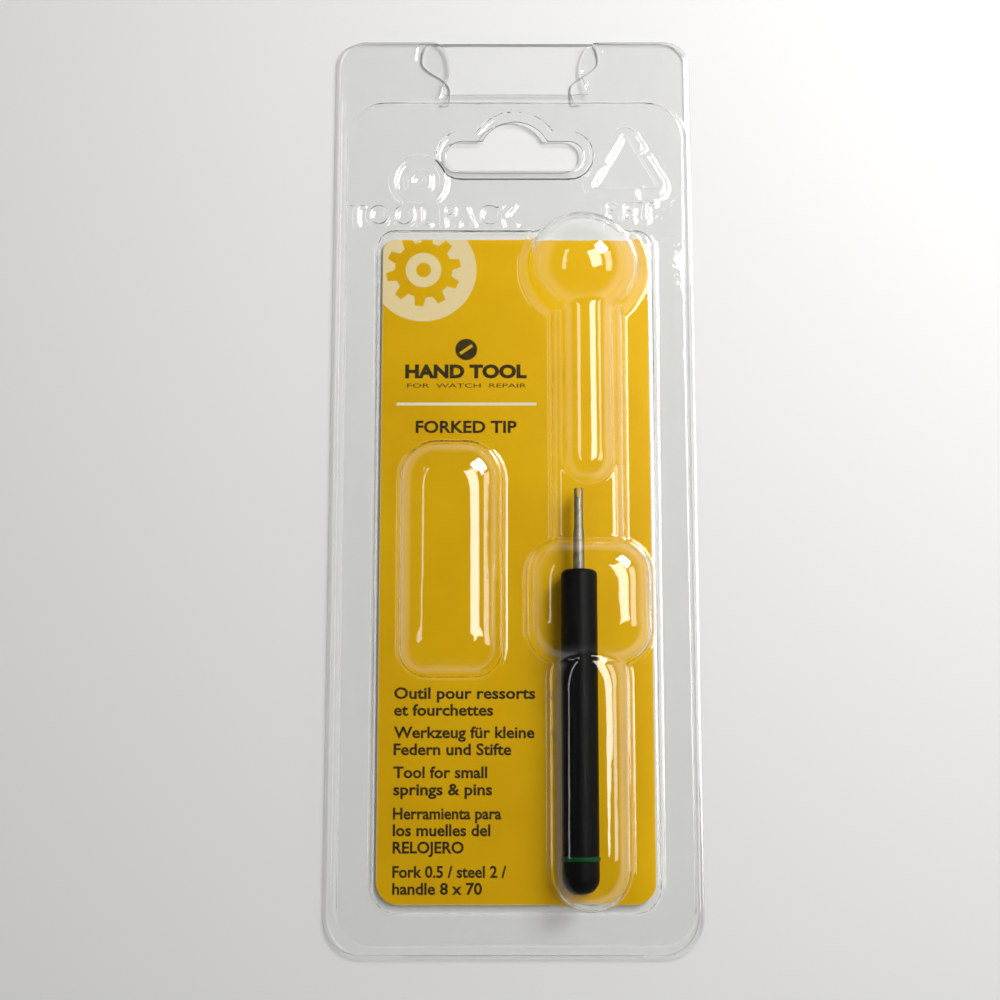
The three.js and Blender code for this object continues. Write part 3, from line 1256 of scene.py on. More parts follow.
@dataclass
class FrontHalf:
    """The front half of the pack: flange, panel, card recess, tool cavity and spare cavity.

    Sizes are in millimetres. A rise is a height above what the part stands on.
    """

    outline: Outline
    finish: Material
    # the cut edges' finish, whose dark grey is painted shade
    edge: Material
    sheet: float = 0.5
    rim_step: float = 0.3
    rim_margin: float = 1.0
    rim_corners: Plan = (7, 5)
    pocket_shift: float = 1.2
    pocket_grow: float = 1.5
    pocket_depth: float = 2.0
    panel_rise: float = 1.0
    panel_side: float = 1.5
    panel_foot: float = 1.7
    panel_drop: float = 14.9
    panel_corners: Plan = (8, 9)
    panel_lean: float = 0.5
    panel_turn: float = 0.6
    land_margin: float = 2.0
    land_height: float = 9.0
    recess_rise: float = 1.2
    recess_side: float = 1.25
    recess_before: float = 2.1
    recess_after: float = 1.9
    recess_corners: Plan = (6, 4)
    recess_lip: float = 1.0
    emboss_height: float = 0.6
    emboss_sink: float = 0.5
    tool_side: float = 2.2
    headroom: float = 1.15
    slot: Bulge = Bulge(width=18, corner=8.9, lean=6.5, turn=6.5)
    slot_before: float = 3.8
    slot_short: float = 15.0
    chamber: Bulge = Bulge(width=28, corner=8.5, lean=8.5, turn=7.5)
    chamber_before: float = 21.3
    chamber_after: float = 7.5
    chamber_rise: float = 1.8
    channel: Bulge = Bulge(width=16.6, corner=7.4, lean=3.0, turn=3.4)
    channel_drop: float = 1.85
    neck: Bulge = Bulge(width=12.8, corner=6.3, lean=6.1, turn=6.8)
    neck_rise: float = 8.5
    neck_lap: float = 2.0
    dome_radius: float = 12.8
    dome_base: float = 14.6
    dome_side: float = 0.8
    dome_drop: float = 9.5
    dome_sink: float = 0.2
    skirt_rise: float = 1.2
    skirt_gap: float = 0.6
    flare_height: float = 2.6
    flare_lap: float = 0.4
    spare_side: float = 5.7
    spare_foot: float = 50.9
    spare_head: float = 104.3
    spare_gap: float = 18.9
    spare_rise: float = 7.3
    spare_corners: Plan = (6.5, 8.5)
    spare_lean: float = 9.0
    spare_turn: float = 6.3
    reach: float = 20.0
    depth: float = 5.0
    apron: float = 3.0
    apron_left: float = 0.8
    voxel: float = 0.38
    smooth_factor: float = 0.5
    smooth_passes: int = 4
    most_faces: int = 88000
    edge_bevel: float = 0.13
    edge_angle: float = 70.0
    crease: float = 50.0
    face_weight: int = 90

    def __post_init__(self) -> None:
        """Reads from the frame where the flange, the recess and the tool lie."""
        low, high = corners("front_shell")
        card_low, card_high = corners("printed_card")
        handle_low, handle_high = corners("tool_handle")
        self.left, self.right, self.fold, self.top = low.x, high.x, low.y, high.y
        self.middle = (low.x + high.x) / 2
        self.base = low.z
        self.flange = low.z + self.sheet
        self.under = self.flange - PAST
        self.panel = self.flange + self.panel_rise
        self.roof = self.panel + self.recess_rise
        self.recess_left = card_low.x - self.recess_side
        self.recess_right = card_high.x + self.recess_side
        self.recess_foot = card_low.y - self.recess_before
        self.recess_top = card_high.y + self.recess_after
        self.tool_top = handle_high.z
        self.handle_foot, self.handle_top = handle_low.y, handle_high.y
        self.line = (handle_low.x + handle_high.x) / 2 + self.tool_side
        self.tip = corners("tool_blade")[1].y
        self.dome_y = self.recess_top - self.dome_drop

    def cavity(self, name: str, bulge: Bulge, foot: float, head: float, roof: float) -> Obj:
        """One part of the tool's cavity, centred on the tool's line.

        Args:
            name: what it is called.
            bulge: its width and its rounding.
            foot: where it starts.
            head: where it ends.
            roof: the height of its roof.

        Returns:
            the closed solid.
        """
        low = (self.line - bulge.width / 2, foot, self.under)
        high = (self.line + bulge.width / 2, head, roof)
        return Bench.bump(name, low, high, (bulge.corner, bulge.corner), bulge.lean, bulge.turn)

    def dome(self) -> list[Obj]:
        """The ball over the tool's far end, with a skirt and a flare at its foot.

        Returns:
            the closed solids.
        """
        x, y = self.line - self.dome_side, self.dome_y
        ball = Bench.ball("dome", (x, y, self.roof - self.dome_sink),
                          self.dome_radius + self.dome_sink)
        skirt = Bench.bar("skirt", (x, y, self.under), self.dome_base,
                          self.roof - self.flange + self.skirt_rise)
        flare = Bench.bar("flare", (x, y, self.roof + self.dome_sink), self.dome_base,
                          self.flare_height, top=self.dome_radius - self.flare_lap)
        for foot in (skirt, flare):
            beyond = Bench.block("beyond",
                                 (x - self.reach, self.recess_top - self.skirt_gap, -self.depth),
                                 (x + self.reach, self.top, self.reach))
            Bench.boolean(foot, beyond, Solver.CUT)
        return [ball, skirt, flare]

    def tool_cavity(self) -> list[Obj]:
        """The slot, the wide chamber, the shallow channel, the neck and the dome.

        Returns:
            the closed solids.
        """
        roof = self.tool_top + self.headroom
        foot, top = self.handle_foot, self.handle_top
        return [
            self.cavity("slot", self.slot, foot - self.slot_before, top - self.slot_short, roof),
            self.cavity("chamber", self.chamber, top - self.chamber_before,
                        top + self.chamber_after, roof + self.chamber_rise),
            self.cavity("channel", self.channel, top, self.dome_y,
                        self.tool_top - self.channel_drop),
            self.cavity("neck", self.neck, self.tip, self.dome_y + self.neck_lap,
                        self.roof + self.neck_rise),
            *self.dome(),
        ]

    def spare_cavity(self) -> Obj:
        """The empty cavity beside the tool.

        Returns:
            the closed solid.
        """
        low = (self.recess_left + self.spare_side, self.recess_foot + self.spare_foot, self.under)
        high = (self.line - self.spare_gap, self.recess_foot + self.spare_head,
                self.roof + self.spare_rise)
        return Bench.bump("spare", low, high, self.spare_corners, self.spare_lean, self.spare_turn)

    def steps(self) -> list[Obj]:
        """The flange, the rim, the panel with its land round the hang hole, and the recess.

        Returns:
            the closed solids.
        """
        margin, apron, outline = self.rim_margin, self.apron, self.outline
        slab = Bench.block("slab", (self.left - apron, self.fold - apron, self.flange - apron),
                           (self.right + apron, self.top + apron, self.flange))
        rim = Bench.rounded("rim", (self.left + margin, self.fold + margin, self.under),
                            (self.right - margin, self.top - margin, self.flange + self.rim_step),
                            *self.rim_corners)
        pocket = outline.tongue(self.middle - self.pocket_shift, self.top, self.pocket_grow, -1)
        Bench.boolean(rim, Bench.plate("pocket", pocket, self.flange - self.pocket_depth,
                                       self.flange + self.pocket_depth), Solver.CUT)
        panel = Bench.bump("panel",
                           (self.left + self.panel_side, self.fold + self.panel_foot, self.under),
                           (self.right - self.panel_side, self.top - self.panel_drop, self.panel),
                           self.panel_corners, self.panel_lean, self.panel_turn, 4)
        land = outline.hang_hole(self.middle, self.top, self.land_margin)
        Bench.boolean(panel, Bench.plate("land", land, self.flange,
                                         self.flange + self.land_height), Solver.CUT)
        recess = Bench.bump("recess", (self.recess_left, self.recess_foot, self.under),
                            (self.recess_right, self.recess_top, self.roof),
                            self.recess_corners, self.recess_lip, self.recess_lip, 5)
        return [slab, rim, panel, recess]

    def mould(self) -> Obj:
        """The solid that the sheet is drawn over, with every step and bump on it.

        Returns:
            the overlapping solids as one mesh.
        """
        marks = Embossing(self.panel - self.emboss_sink, self.panel + self.emboss_height)
        return Bench.join("mould", [*self.steps(), self.spare_cavity(), *self.tool_cavity(),
                                    *marks.build()])

    def trim(self, sheet: Obj) -> None:
        """Cuts the pack's outline, the hang hole and the closure's bay.

        Args:
            sheet: the formed sheet.
        """
        low, high = self.base - self.depth, self.roof + self.reach
        outline = self.outline
        blank = Bench.rounded("blank", (self.left, self.fold, low), (self.right, self.top, high),
                              outline.fold_corner, outline.top_corner, outline.corner_steps)
        blank.data.materials.append(self.edge)
        sheet.data.materials.append(self.finish)
        Bench.boolean(sheet, blank, Solver.KEEP)
        openings = (outline.hang_hole(self.middle, self.top), outline.notch(self.middle, self.top))
        for shape in openings:
            cutter = Bench.plate("cutter", shape, low, high)
            cutter.data.materials.append(self.edge)
            Bench.boolean(sheet, cutter, Solver.CUT)

    def build(self) -> Obj:
        """Draws the sheet over the mould, gives it its wall and trims it.

        Returns:
            the finished half.
        """
        sheet = self.mould()
        Bench.modifier(sheet, "REMESH", mode="VOXEL", voxel_size=mm(self.voxel))
        Bench.modifier(sheet, "SMOOTH", factor=self.smooth_factor, iterations=self.smooth_passes)
        Bench.pick(sheet, points=lambda p: p.z < self.flange - self.apron_left)
        bpy.ops.mesh.delete(type="VERT")
        Bench.done()
        Bench.modifier(sheet, "TRIANGULATE")
        triangles = len(sheet.data.polygons)
        LOG.info("sheet of %d triangles", triangles)
        Bench.modifier(sheet, "DECIMATE", ratio=min(1.0, self.most_faces / triangles))
        Bench.modifier(sheet, "SOLIDIFY", thickness=mm(self.sheet), offset=-1)
        self.trim(sheet)
        # the bevel faces take the edge finish, with its painted shade
        Bench.modifier(sheet, "BEVEL", width=mm(self.edge_bevel), segments=1,
                       limit_method="ANGLE", angle_limit=math.radians(self.edge_angle), material=1)
        Bench.smooth(sheet, self.crease)
        Bench.modifier(sheet, "WEIGHTED_NORMAL", keep_sharp=True, weight=self.face_weight)
        sheet.name = sheet.data.name = "clear_front"
        return dress(sheet, self.finish, "front", "clear_plastic", "front_shell")


@dataclass
class BackHalf:
    """The back half of the pack: a flat sheet with the closure's tongue cut free in it."""

    outline: Outline
    finish: Material
    # the cut edges' finish, whose pale colour is a painted highlight
    edge: Material
    kerf: float = 0.22
    root: float = 2.0
    edge_bevel: float = 0.1
    edge_angle: float = 50.0
    crease: float = 35.0

    def build(self) -> Obj:
        """Cuts the sheet, its hang hole and the slit round the tongue.

        Returns:
            the finished half.
        """
        low, high = corners("back_shell")
        middle, top, outline = (low.x + high.x) / 2, high.y, self.outline
        under, over = low.z - PAST, high.z + PAST
        sheet = Bench.rounded("clear_back", low, high, outline.fold_corner, outline.top_corner,
                              outline.corner_steps)
        sheet.data.materials.append(self.finish)
        slit = Bench.plate("slit", outline.tongue(middle, top, self.kerf), under, over)
        inner = Bench.plate("inner", outline.tongue(middle, top, 0, self.root),
                            under - PAST, over + PAST)
        Bench.boolean(slit, inner, Solver.CUT)
        hole = Bench.plate("hole", outline.hang_hole(middle, top), under, over)
        for cutter in (slit, hole):
            cutter.data.materials.clear()
            cutter.data.materials.append(self.edge)
            Bench.boolean(sheet, cutter, Solver.CUT)
        # the bevel faces take the edge finish, with its painted highlight
        Bench.modifier(sheet, "BEVEL", width=mm(self.edge_bevel), segments=1,
                       limit_method="ANGLE", angle_limit=math.radians(self.edge_angle), material=1)
        Bench.smooth(sheet, self.crease)
        return dress(sheet, self.finish, "back", "clear_plastic", "back_shell")


@dataclass
class FoldStrip:
    """The strip of sheet that joins the two halves along their fold."""

    finish: Material
    left: float = -24.0
    right: float = 28.0
    sheet: float = 0.3
    lap: float = 0.25
    sides: int = 32
    crease: float = 40.0

    def build(self) -> Obj:
        """Bends a half-round strip from one half's edge to the other's.

        Returns:
            the finished strip.
        """
        back_low, back_high = corners("back_shell")
        fold = back_low.y
        low, high = back_high.z / 2, corners("front_shell")[0].z + self.lap
        foot = (self.left, fold, (low + high) / 2)
        strip = Bench.bar("fold_strip", foot, (high - low) / 2 + self.sheet / 2,
                          self.right - self.left, Lie.ACROSS, self.sides)
        Bench.pick(strip, faces=lambda c, n: abs(n.x) > FACING)
        bpy.ops.mesh.delete(type="ONLY_FACE")
        Bench.done()
        Bench.pick(strip, points=lambda p: True)
        bpy.ops.mesh.bisect(plane_co=(0, mm(fold), 0), plane_no=(0, 1, 0), clear_outer=True)
        Bench.done()
        Bench.modifier(strip, "SOLIDIFY", thickness=mm(self.sheet), offset=-1)
        Bench.smooth(strip, self.crease)
        mm(fold)
        mm(low)
        mm(fold)
        mm(high)
        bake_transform(strip)
        strip.data.materials.append(self.finish)
        LOG.info("fold_strip joins back and front with %d faces", len(strip.data.polygons))
        return strip


# ------------------------------------------------------------------ the printed card


@dataclass
class GearMotif:
    """A disc with a gear wheel left open in it, cut off by the card's corner."""

    low: float
    high: float
    centre: Plan
    radius: float = 12.2
    wheel: float = 6.6
    teeth: int = 10
    twist: float = 0.2
    tooth_root: Plan = (5.5, 1.5)
    tooth_tip: Plan = (8.6, 0.95)
    hub: float = 4.1
    bore: float = 1.7
    cutter: float = 3.0
    sides: int = 64
    disc_sides: int = 96
    bore_sides: int = 48

    def build(self) -> Obj:
        """Cuts the toothed wheel out of the disc and puts its hub back.

        Returns:
            the disc and the hub as one mesh.
        """
        thick, under = self.high - self.low, self.low - PAST
        disc = Bench.bar("print_motif", (*self.centre, self.low), self.radius, thick,
                         sides=self.disc_sides)
        wheel = Bench.bar("wheel", (*self.centre, under), self.wheel, self.cutter,
                          sides=self.sides)
        for tooth in range(self.teeth):
            angle = 2 * math.pi * tooth / self.teeth + self.twist
            way = Vector((math.cos(angle), math.sin(angle)))
            side = Vector((-math.sin(angle), math.cos(angle)))
            (root, wide), (tip, narrow) = self.tooth_root, self.tooth_tip
            shape = [Vector(self.centre) + way * out + side * across for out, across in
                     ((root, wide), (root, -wide), (tip, -narrow), (tip, narrow))]
            plate = Bench.plate("tooth", [tuple(p) for p in shape], under, under + self.cutter)
            Bench.boolean(wheel, plate, Solver.JOIN)
        Bench.boolean(disc, wheel, Solver.CUT)
        hub = Bench.bar("hub", (*self.centre, self.low), self.hub, thick, sides=self.sides)
        bore = Bench.bar("bore", (*self.centre, under), self.bore, self.cutter,
                         sides=self.bore_sides)
        Bench.boolean(hub, bore, Solver.CUT)
        return Bench.join("print_motif", [disc, hub])


@dataclass(frozen=True)
class Line:
    """One printed line, between two ends that are measured from the card's middle line."""

    text: str
    right: float
    base: float
    left: float = -26.9
    capital: float = 2.45
    weight: float = 0.026

    def print(self, name: str, shift: float, low: float, high: float) -> Obj:
        """Sets the line in ink.

        Args:
            name: what the mesh is called.
            shift: the card's middle line.
            low: the underside of the ink.
            high: its face.

        Returns:
            the letters as one mesh.
        """
        box = (self.left + shift, self.right + shift, self.base, self.capital)
        return Bench.letters(name, self.text, box, low, high, self.weight)


@dataclass
class PrintedCard:
    """The yellow card and all that is printed on it, in millimetres."""

    yellow: Colour = (0.87, 0.505, 0.0008, 1.0)
    black: Colour = (0.006, 0.005, 0.003, 1.0)
    cream: Colour = (0.86, 0.74, 0.44, 1.0)
    pale: Colour = (0.85, 0.8, 0.6, 1.0)
    ink_depth: float = 0.02
    board_corners: Plan = (5, 3)
    board_bevel: float = 0.08
    board_angle: float = 50.0
    crease: float = 35.0
    motif_place: Plan = (-21.1, 48.9)
    motif_margin: float = 0.1
    motif_corners: Plan = (5, 2.9)
    motif_screen: float = 0.9
    badge_place: Plan = (-11.2, 30.1)
    badge_radius: float = 2.5
    badge_slot: Plan = (1.7, 0.35)
    badge_turn: Plan = (0.82, 0.57)
    rule_low: Plan = (-27.0, 17.0)
    rule_high: Plan = (4.8, 17.7)
    rule_bevel: float = 0.005

    def __post_init__(self) -> None:
        """Reads the card's place from the frame, and takes its heading and uses in order."""
        self.low, self.high = corners("printed_card")
        self.shift = (self.low.x + self.high.x) / 2
        self.ink = (self.high.z - self.ink_depth, self.high.z + self.ink_depth)
        self.headings = {
            "print_title": Line("HAND TOOL", 2.6, 23.55, -25.1, 2.9, 0.05),
            "print_subtitle": Line("FOR  WATCH  REPAIR", 2.5, 21.2, -24.6, 0.95, 0.0),
            "print_kind": Line("FORKED TIP", 0.3, 10.75, -22.6, 2.7, 0.028),
        }
        self.uses = [
            Line("Outil pour ressorts", 4.3, -49.2), Line("et fourchettes", -5.0, -52.9),
            Line("Werkzeug für kleine", 4.1, -57.8), Line("Federn und Stifte", -1.0, -61.5),
            Line("Tool for small", -6.3, -66.5), Line("springs & pins", -5.2, -70.2),
            Line("Herramienta para", -3.2, -75.4), Line("los muelles del", -5.6, -79.0),
            Line("RELOJERO", -11.4, -82.7), Line("Fork 0.5 / steel 2 /", -2.1, -87.9),
            Line("handle 8 x 70", -7.4, -91.5),
        ]

    def printed(self, piece: Obj, ink: Material) -> Obj:
        """Dresses a printed piece in its ink."""
        return dress(piece, ink, "card", "printed_card")

    def board(self) -> Obj:
        """The card, with two sizes of corner and softened cut edges.

        Returns:
            the finished board.
        """
        board = Bench.rounded("card_board", self.low, self.high, *self.board_corners)
        Bench.modifier(board, "BEVEL", width=mm(self.board_bevel), segments=2,
                       limit_method="ANGLE", angle_limit=math.radians(self.board_angle))
        Bench.smooth(board, self.crease)
        finish = PrintedBoard("yellow_board", self.yellow, self.low, self.high).material()
        return dress(board, finish, "card", "printed_card", "printed_card")

    def motif(self) -> Obj:
        """The cream gear motif, cut off by the card's edges.

        Returns:
            the finished print.
        """
        low, high = self.ink
        x, y = self.motif_place
        margin = self.motif_margin
        motif = GearMotif(low, high, (self.shift + x, y)).build()
        sheet = Bench.rounded("sheet", (self.low.x + margin, self.low.y, low - PAST),
                              (self.high.x - margin, self.high.y - margin, high + PAST),
                              *self.motif_corners)
        Bench.boolean(motif, sheet, Solver.KEEP)
        ink = Ink("cream_ink", self.cream, self.yellow, self.motif_screen).material()
        return self.printed(motif, ink)

    def badge(self, ink: Material) -> Obj:
        """A small disc with a slanting screw slot.

        Args:
            ink: the dark ink.

        Returns:
            the finished print.
        """
        low, high = self.ink
        x, y = self.shift + self.badge_place[0], self.badge_place[1]
        disc = Bench.bar("print_badge", (x, y, low), self.badge_radius, high - low)
        (length, width), (along, up) = self.badge_slot, self.badge_turn
        slot = [(x + a * along - b * up, y + a * up + b * along) for a, b in
                ((-length, -width), (length, -width), (length, width), (-length, width))]
        Bench.boolean(disc, Bench.plate("slot", slot, low - PAST, high + PAST), Solver.CUT)
        return self.printed(disc, ink)

    def wording(self, ink: Material) -> None:
        """Plain generic words in the card's layout.

        Args:
            ink: the dark ink.
        """
        for name, line in self.headings.items():
            self.printed(line.print(name, self.shift, *self.ink), ink)
        rows = [line.print("row", self.shift, *self.ink) for line in self.uses]
        self.printed(Bench.join("print_uses", rows), ink)

    def rule(self) -> Obj:
        """The pale rule under the heading.

        Returns:
            the finished print.
        """
        (left, foot), (right, head) = self.rule_low, self.rule_high
        low, high = self.ink
        rule = Bench.block("print_rule", (self.shift + left, foot, low),
                           (self.shift + right, head, high))
        Bench.modifier(rule, "BEVEL", width=mm(self.rule_bevel), segments=1)
        return self.printed(rule, Ink("pale_ink", self.pale, self.yellow).material())

    def build(self) -> None:
        """Builds the board and the print."""
        dark = Ink("dark_ink", self.black, self.yellow).material()
        self.board()
        self.motif()
        self.badge(dark)
        self.wording(dark)
        self.rule()


# ------------------------------------------------------------------ the tool


@dataclass
class SpringTool:
    """The forked spring tool: a moulded handle, a colour ring and a turned steel blade.

    Sizes are in millimetres.
    """

    black: tuple[Colour, Colour] = ((0.002, 0.0022, 0.002, 1), (0.008, 0.0085, 0.007, 1))
    green: tuple[Colour, Colour] = ((0.003, 0.06, 0.014, 1), (0.012, 0.1, 0.035, 1))
    groove: float = 1.2
    ring_from_foot: float = 6.95
    ring_width: float = 1.0
    ring_proud: float = 0.2
    ring_gap: float = 0.1
    ring_round: float = 0.18
    foot_round: float = 3.4
    top_round: float = 1.2
    bore_gap: float = 0.08
    bore_depth: float = 3.0
    seat: float = 2.5
    shank: float = 7.3
    cone: float = 2.4
    tip_radius: float = 1.0
    tip_chamfer: float = 0.2
    fork_width: float = 0.55
    fork_depth: float = 2.1
    fork_reach: float = 3.0
    prong_bevel: float = 0.05
    handle_sides: int = 96
    blade_sides: int = 64
    crease: float = 40.0
    blade_crease: float = 35.0

    def __post_init__(self) -> None:
        """Reads the tool's axis and ends from the frame."""
        low, high = corners("tool_handle")
        blade_low, blade_high = corners("tool_blade")
        self.x, self.z = (low.x + high.x) / 2, (low.z + high.z) / 2
        self.radius = (high.x - low.x) / 2
        self.foot, self.top = low.y, high.y
        self.tip = blade_high.y
        self.shank_radius = (blade_high.x - blade_low.x) / 2
        self.axis = Vector((self.x, 0, self.z)) * MM

    def out(self, point: Vector) -> float:
        """How far a point in millimetres lies from the tool's axis."""
        return (point.xz - Vector((self.x, self.z))).length

    def handle(self) -> Obj:
        """Rounds both ends of a bar, sinks the ring's groove and drills the blade's bore.

        Returns:
            the finished handle.
        """
        handle = Bench.bar("black_handle", (self.x, self.foot, self.z), self.radius,
                           self.top - self.foot, Lie.ALONG, self.handle_sides)
        for y, size, steps in ((self.foot, self.foot_round, 12), (self.top, self.top_round, 6)):
            Bench.pick(handle, edges=lambda a, b: abs(a.y - y) + abs(b.y - y) < NEAR)
            bpy.ops.mesh.bevel(offset=mm(size), segments=steps, affect="EDGES")
            Bench.done()
        groove_low = self.foot + self.ring_from_foot - self.ring_gap
        groove_high = groove_low + self.ring_width + 2 * self.ring_gap
        for level in (groove_low, groove_high):
            Bench.pick(handle, points=lambda p: True)
            bpy.ops.mesh.bisect(plane_co=(0, mm(level), 0), plane_no=(0, 1, 0))
            Bench.done()
        Bench.pick(handle, faces=lambda c, n: groove_low < c.y < groove_high)
        sink = {"value": -mm(self.groove)}
        bpy.ops.mesh.extrude_region_shrink_fatten(TRANSFORM_OT_shrink_fatten=sink)
        Bench.done()
        Bench.pick(handle, faces=lambda c, n: n.y > SQUARE and c.y > self.top - COARSE)
        rim = self.radius - self.top_round - self.shank_radius - self.bore_gap
        bpy.ops.mesh.inset(thickness=mm(rim))
        drill = {"value": (0, -mm(self.bore_depth), 0)}
        bpy.ops.mesh.extrude_region_move(TRANSFORM_OT_translate=drill)
        Bench.done()
        Bench.smooth(handle, self.crease)
        finish = MouldedPlastic("black_moulding", *self.black)
        return dress(handle, finish.material(), "tool", "black_plastic", "tool_handle")

    def ring(self) -> Obj:
        """Softens a short collar's edges and opens its bore.

        Returns:
            the finished ring.
        """
        outer = self.radius + self.ring_proud
        inner = self.radius - self.groove + self.ring_gap
        foot = (self.x, self.foot + self.ring_from_foot, self.z)
        ring = Bench.bar("green_ring", foot, outer, self.ring_width, Lie.ALONG, self.handle_sides)
        for way in (-1, 1):
            Bench.pick(ring, faces=lambda c, n: n.y * way > FACING)
            bpy.ops.mesh.inset(thickness=mm(self.ring_proud + self.groove - self.ring_gap))
            Bench.done()
        Bench.pick(ring, edges=lambda a, b: all(abs(self.out(p) - outer) < COARSE for p in (a, b))
                   and abs(a.y - b.y) < NEAR)
        bpy.ops.mesh.bevel(offset=mm(self.ring_round), segments=3, affect="EDGES")
        Bench.done()
        Bench.pick(ring, faces=lambda c, n: abs(n.y) > FACING and self.out(c) < inner / 2)
        bpy.ops.mesh.bridge_edge_loops()
        Bench.done()
        Bench.smooth(ring, self.crease)
        finish = MouldedPlastic("green_moulding", *self.green)
        return dress(ring, finish.material(), "tool", "green_plastic", "colour_ring")

    def draw_out(self, blade: Obj, step: float, radius: float) -> None:
        """Draws the blade's end face out and sizes it.

        Args:
            blade: the blade so far.
            step: how far its end moves out.
            radius: the end's new radius.
        """
        Bench.pick(blade, faces=lambda c, n: n.y > SQUARE)
        before = max(v.co.y for v in blade.data.vertices)
        bpy.ops.mesh.extrude_region_move(TRANSFORM_OT_translate={"value": (0, mm(step), 0)})
        Bench.done()
        end = before / MM + step
        reach = max((v.co.xz - self.axis.xz).length for v in blade.data.vertices
                    if v.co.y / MM > end - COARSE)
        Bench.pick(blade, points=lambda p: p.y > end - COARSE)
        share = mm(radius) / reach
        bpy.ops.transform.resize(value=(share, 1, share),
                                 center_override=(self.axis.x, mm(end), self.axis.z))
        Bench.done()

    def blade(self) -> Obj:
        """Draws the shank out to its cone and thin tip, and slots the tip into two prongs.

        Returns:
            the finished blade.
        """
        foot = self.top - self.seat
        blade = Bench.bar("steel_blade", (self.x, foot, self.z), self.shank_radius,
                          self.top + self.shank - foot, Lie.ALONG, self.blade_sides)
        length = self.tip - self.top - self.shank - self.cone
        chamfer = self.tip_chamfer
        self.draw_out(blade, self.cone, self.tip_radius)
        self.draw_out(blade, length - chamfer, self.tip_radius)
        self.draw_out(blade, chamfer, self.tip_radius - chamfer)
        half, reach = self.fork_width / 2, self.fork_reach
        slot = Bench.block("fork", (self.x - half, self.tip - self.fork_depth, self.z - reach),
                           (self.x + half, self.tip + PAST, self.z + reach))
        Bench.boolean(blade, slot, Solver.CUT)
        Bench.modifier(blade, "BEVEL", width=mm(self.prong_bevel), segments=2,
                       limit_method="ANGLE", angle_limit=math.radians(self.crease))
        Bench.smooth(blade, self.blade_crease)
        return dress(blade, TurnedSteel().material(), "tool", "blade_steel", "tool_blade")

    def build(self) -> None:
        """Builds the handle, the ring and the blade."""
        self.handle()
        self.ring()
        self.blade()


# ------------------------------------------------------------------ the studio


@dataclass(frozen=True)
class Lamp:
    """A soft rectangular lamp that faces the object: sizes in metres, and power in watts."""

    name: str
    place: tuple[float, float, float]
    size: Plan
    power: float
    colour: tuple[float, float, float] = (1.0, 1.0, 1.0)

    def hang(self) -> None:
        """Adds the lamp to the scene, with its long side along the object."""
        bpy.ops.object.select_all(action="DESELECT")
        bpy.ops.object.light_add(type="AREA", location=self.place)
        lamp = bpy.context.view_layer.objects.active
        lamp.name = self.name
        lamp.data.shape = "RECTANGLE"
        lamp.data.size, lamp.data.size_y = self.size
        lamp.data.energy = self.power
        lamp.data.color = self.colour
        lamp.rotation_euler = (-Vector(self.place)).to_track_quat("-Z", "X").to_euler()


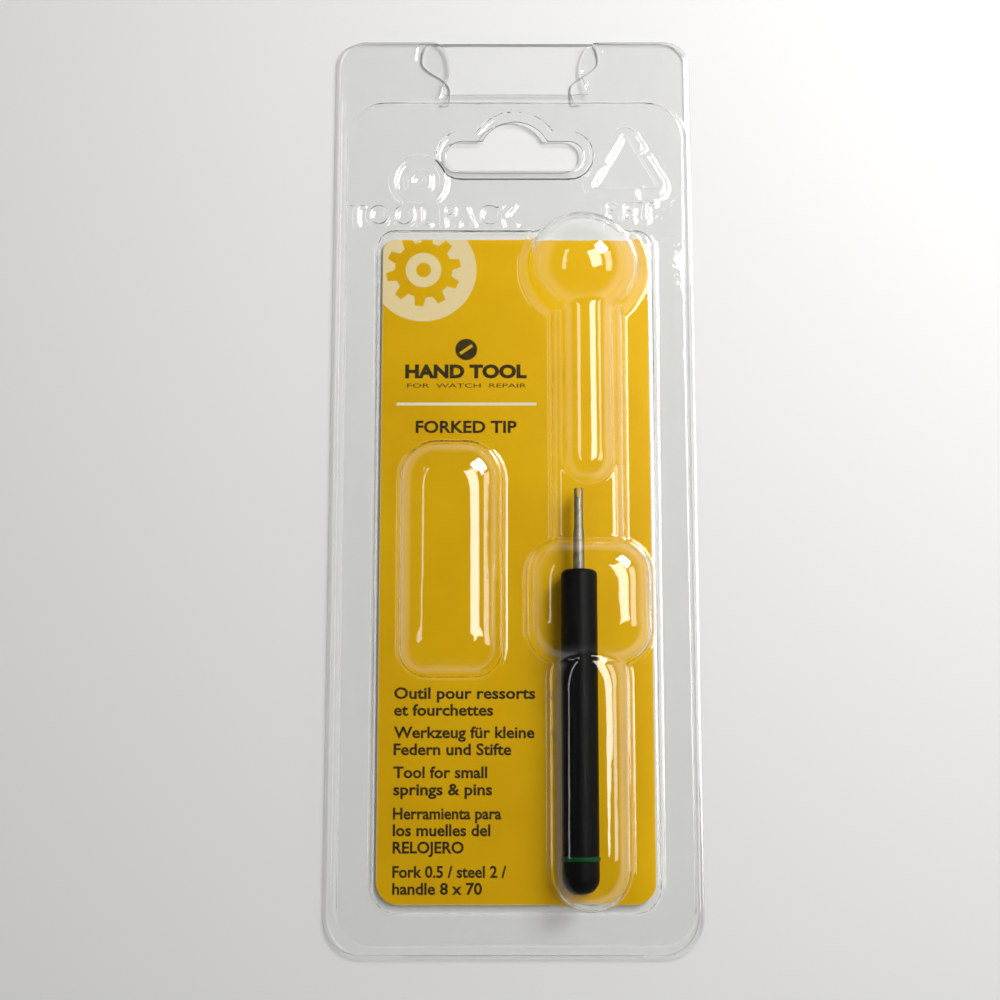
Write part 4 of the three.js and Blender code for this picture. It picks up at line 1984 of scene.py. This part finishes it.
@dataclass
class Studio:
    """A pale table, soft lamps and the camera, whose places are in millimetres."""

    table_size: float = 4.0
    lens: float = 63.76
    sensor: float = 36.0
    nearest: float = 0.01
    camera_place: tuple[float, float, float] = (-2.9, -70.51, 394.5)
    aim: tuple[float, float, float] = (-2.9, -4.49, 0.0)
    wall: Colour = (1.0, 1.0, 0.99, 1.0)
    far_wall: Colour = (0.55, 0.55, 0.555, 1.0)
    ceiling: Colour = (0.012, 0.012, 0.0125, 1.0)
    side_edges: Plan = (-0.6, 0.9)
    height_edges: Plan = (0.08, 0.5)
    lamps: tuple[Lamp, ...] = (
        Lamp("window", (0.35, 0.14, 0.76), (0.32, 0.5), 2.9, (1.0, 0.985, 0.96)),
        Lamp("side_window", (0.64, 0.1, 0.5), (0.2, 0.5), 1.0, (1.0, 0.985, 0.96)),
        Lamp("near_lamp", (0.26, 0.26, 0.32), (0.16, 0.16), 1.2, (1.0, 0.995, 0.98)),
        Lamp("left_window", (-0.42, 0.12, 0.58), (0.1, 0.5), 0.42),
        Lamp("near_fill", (0.1, -0.9, 0.5), (0.5, 1.0), 0.1),
    )

    def table(self) -> None:
        """The plain table top."""
        bpy.ops.object.select_all(action="DESELECT")
        bpy.ops.mesh.primitive_plane_add(size=self.table_size, location=(0, 0, 0))
        floor = Bench.settle("table_top")
        floor.data.materials.append(PaleTable().material())

    def world(self) -> None:
        """A soft room: walls that are palest on the window's side, and a dim ceiling."""
        paint = Paint("soft_room", world=True)
        place = paint.add("ShaderNodeTexCoord").outputs["Generated"]
        way = paint.add("ShaderNodeSeparateXYZ", None, {0: place}).outputs
        side = Value(paint, way["X"]).above(*self.side_edges)
        height = Value(paint, way["Z"]).above(*self.height_edges)
        colour = paint.mix(height, paint.mix(side, self.far_wall, self.wall), self.ceiling)
        shade = paint.add("ShaderNodeBackground", None, {"Color": colour, "Strength": 1.0})
        bpy.context.scene.world = paint.finish(shade.outputs[0])

    def camera(self) -> None:
        """The camera, nearly overhead."""
        bpy.ops.object.camera_add(location=[mm(v) for v in self.camera_place])
        camera = bpy.context.view_layer.objects.active
        camera.name = "camera"
        camera.data.lens = self.lens
        camera.data.sensor_width = self.sensor
        camera.data.clip_start = self.nearest
        way = Vector(self.aim) - Vector(self.camera_place)
        camera.rotation_euler = way.to_track_quat("-Z", "Y").to_euler()
        bpy.context.scene.camera = camera

    def build(self) -> None:
        """Sets the whole studio up."""
        self.table()
        for lamp in self.lamps:
            lamp.hang()
        self.world()
        self.camera()
        bpy.context.scene.view_settings.view_transform = "Standard"


def main() -> None:
    """Builds the classes in order, and logs what each piece rides on and how many faces it has."""
    logging.basicConfig(level=logging.INFO, format="%(message)s")
    outline = Outline()
    clear = ClearSheet().material()
    PrintedCard().build()
    SpringTool().build()
    # painted shade: the dark edge colour for the front half's cut edges
    edge = CutEdgePaintedLine().material()
    # painted highlight: the pale colour stands in for the bright line along the back half's cut
    # edges and the tongue's slit
    slit = CutEdgePaintedLine("slit_edge_painted_highlight", (0.6, 0.62, 0.61, 1.0), 0.85).material()
    BackHalf(outline, clear, slit).build()
    FoldStrip(clear).build()
    FrontHalf(outline, clear, edge).build()
    Studio().build()


if __name__ == "__main__":
    main()
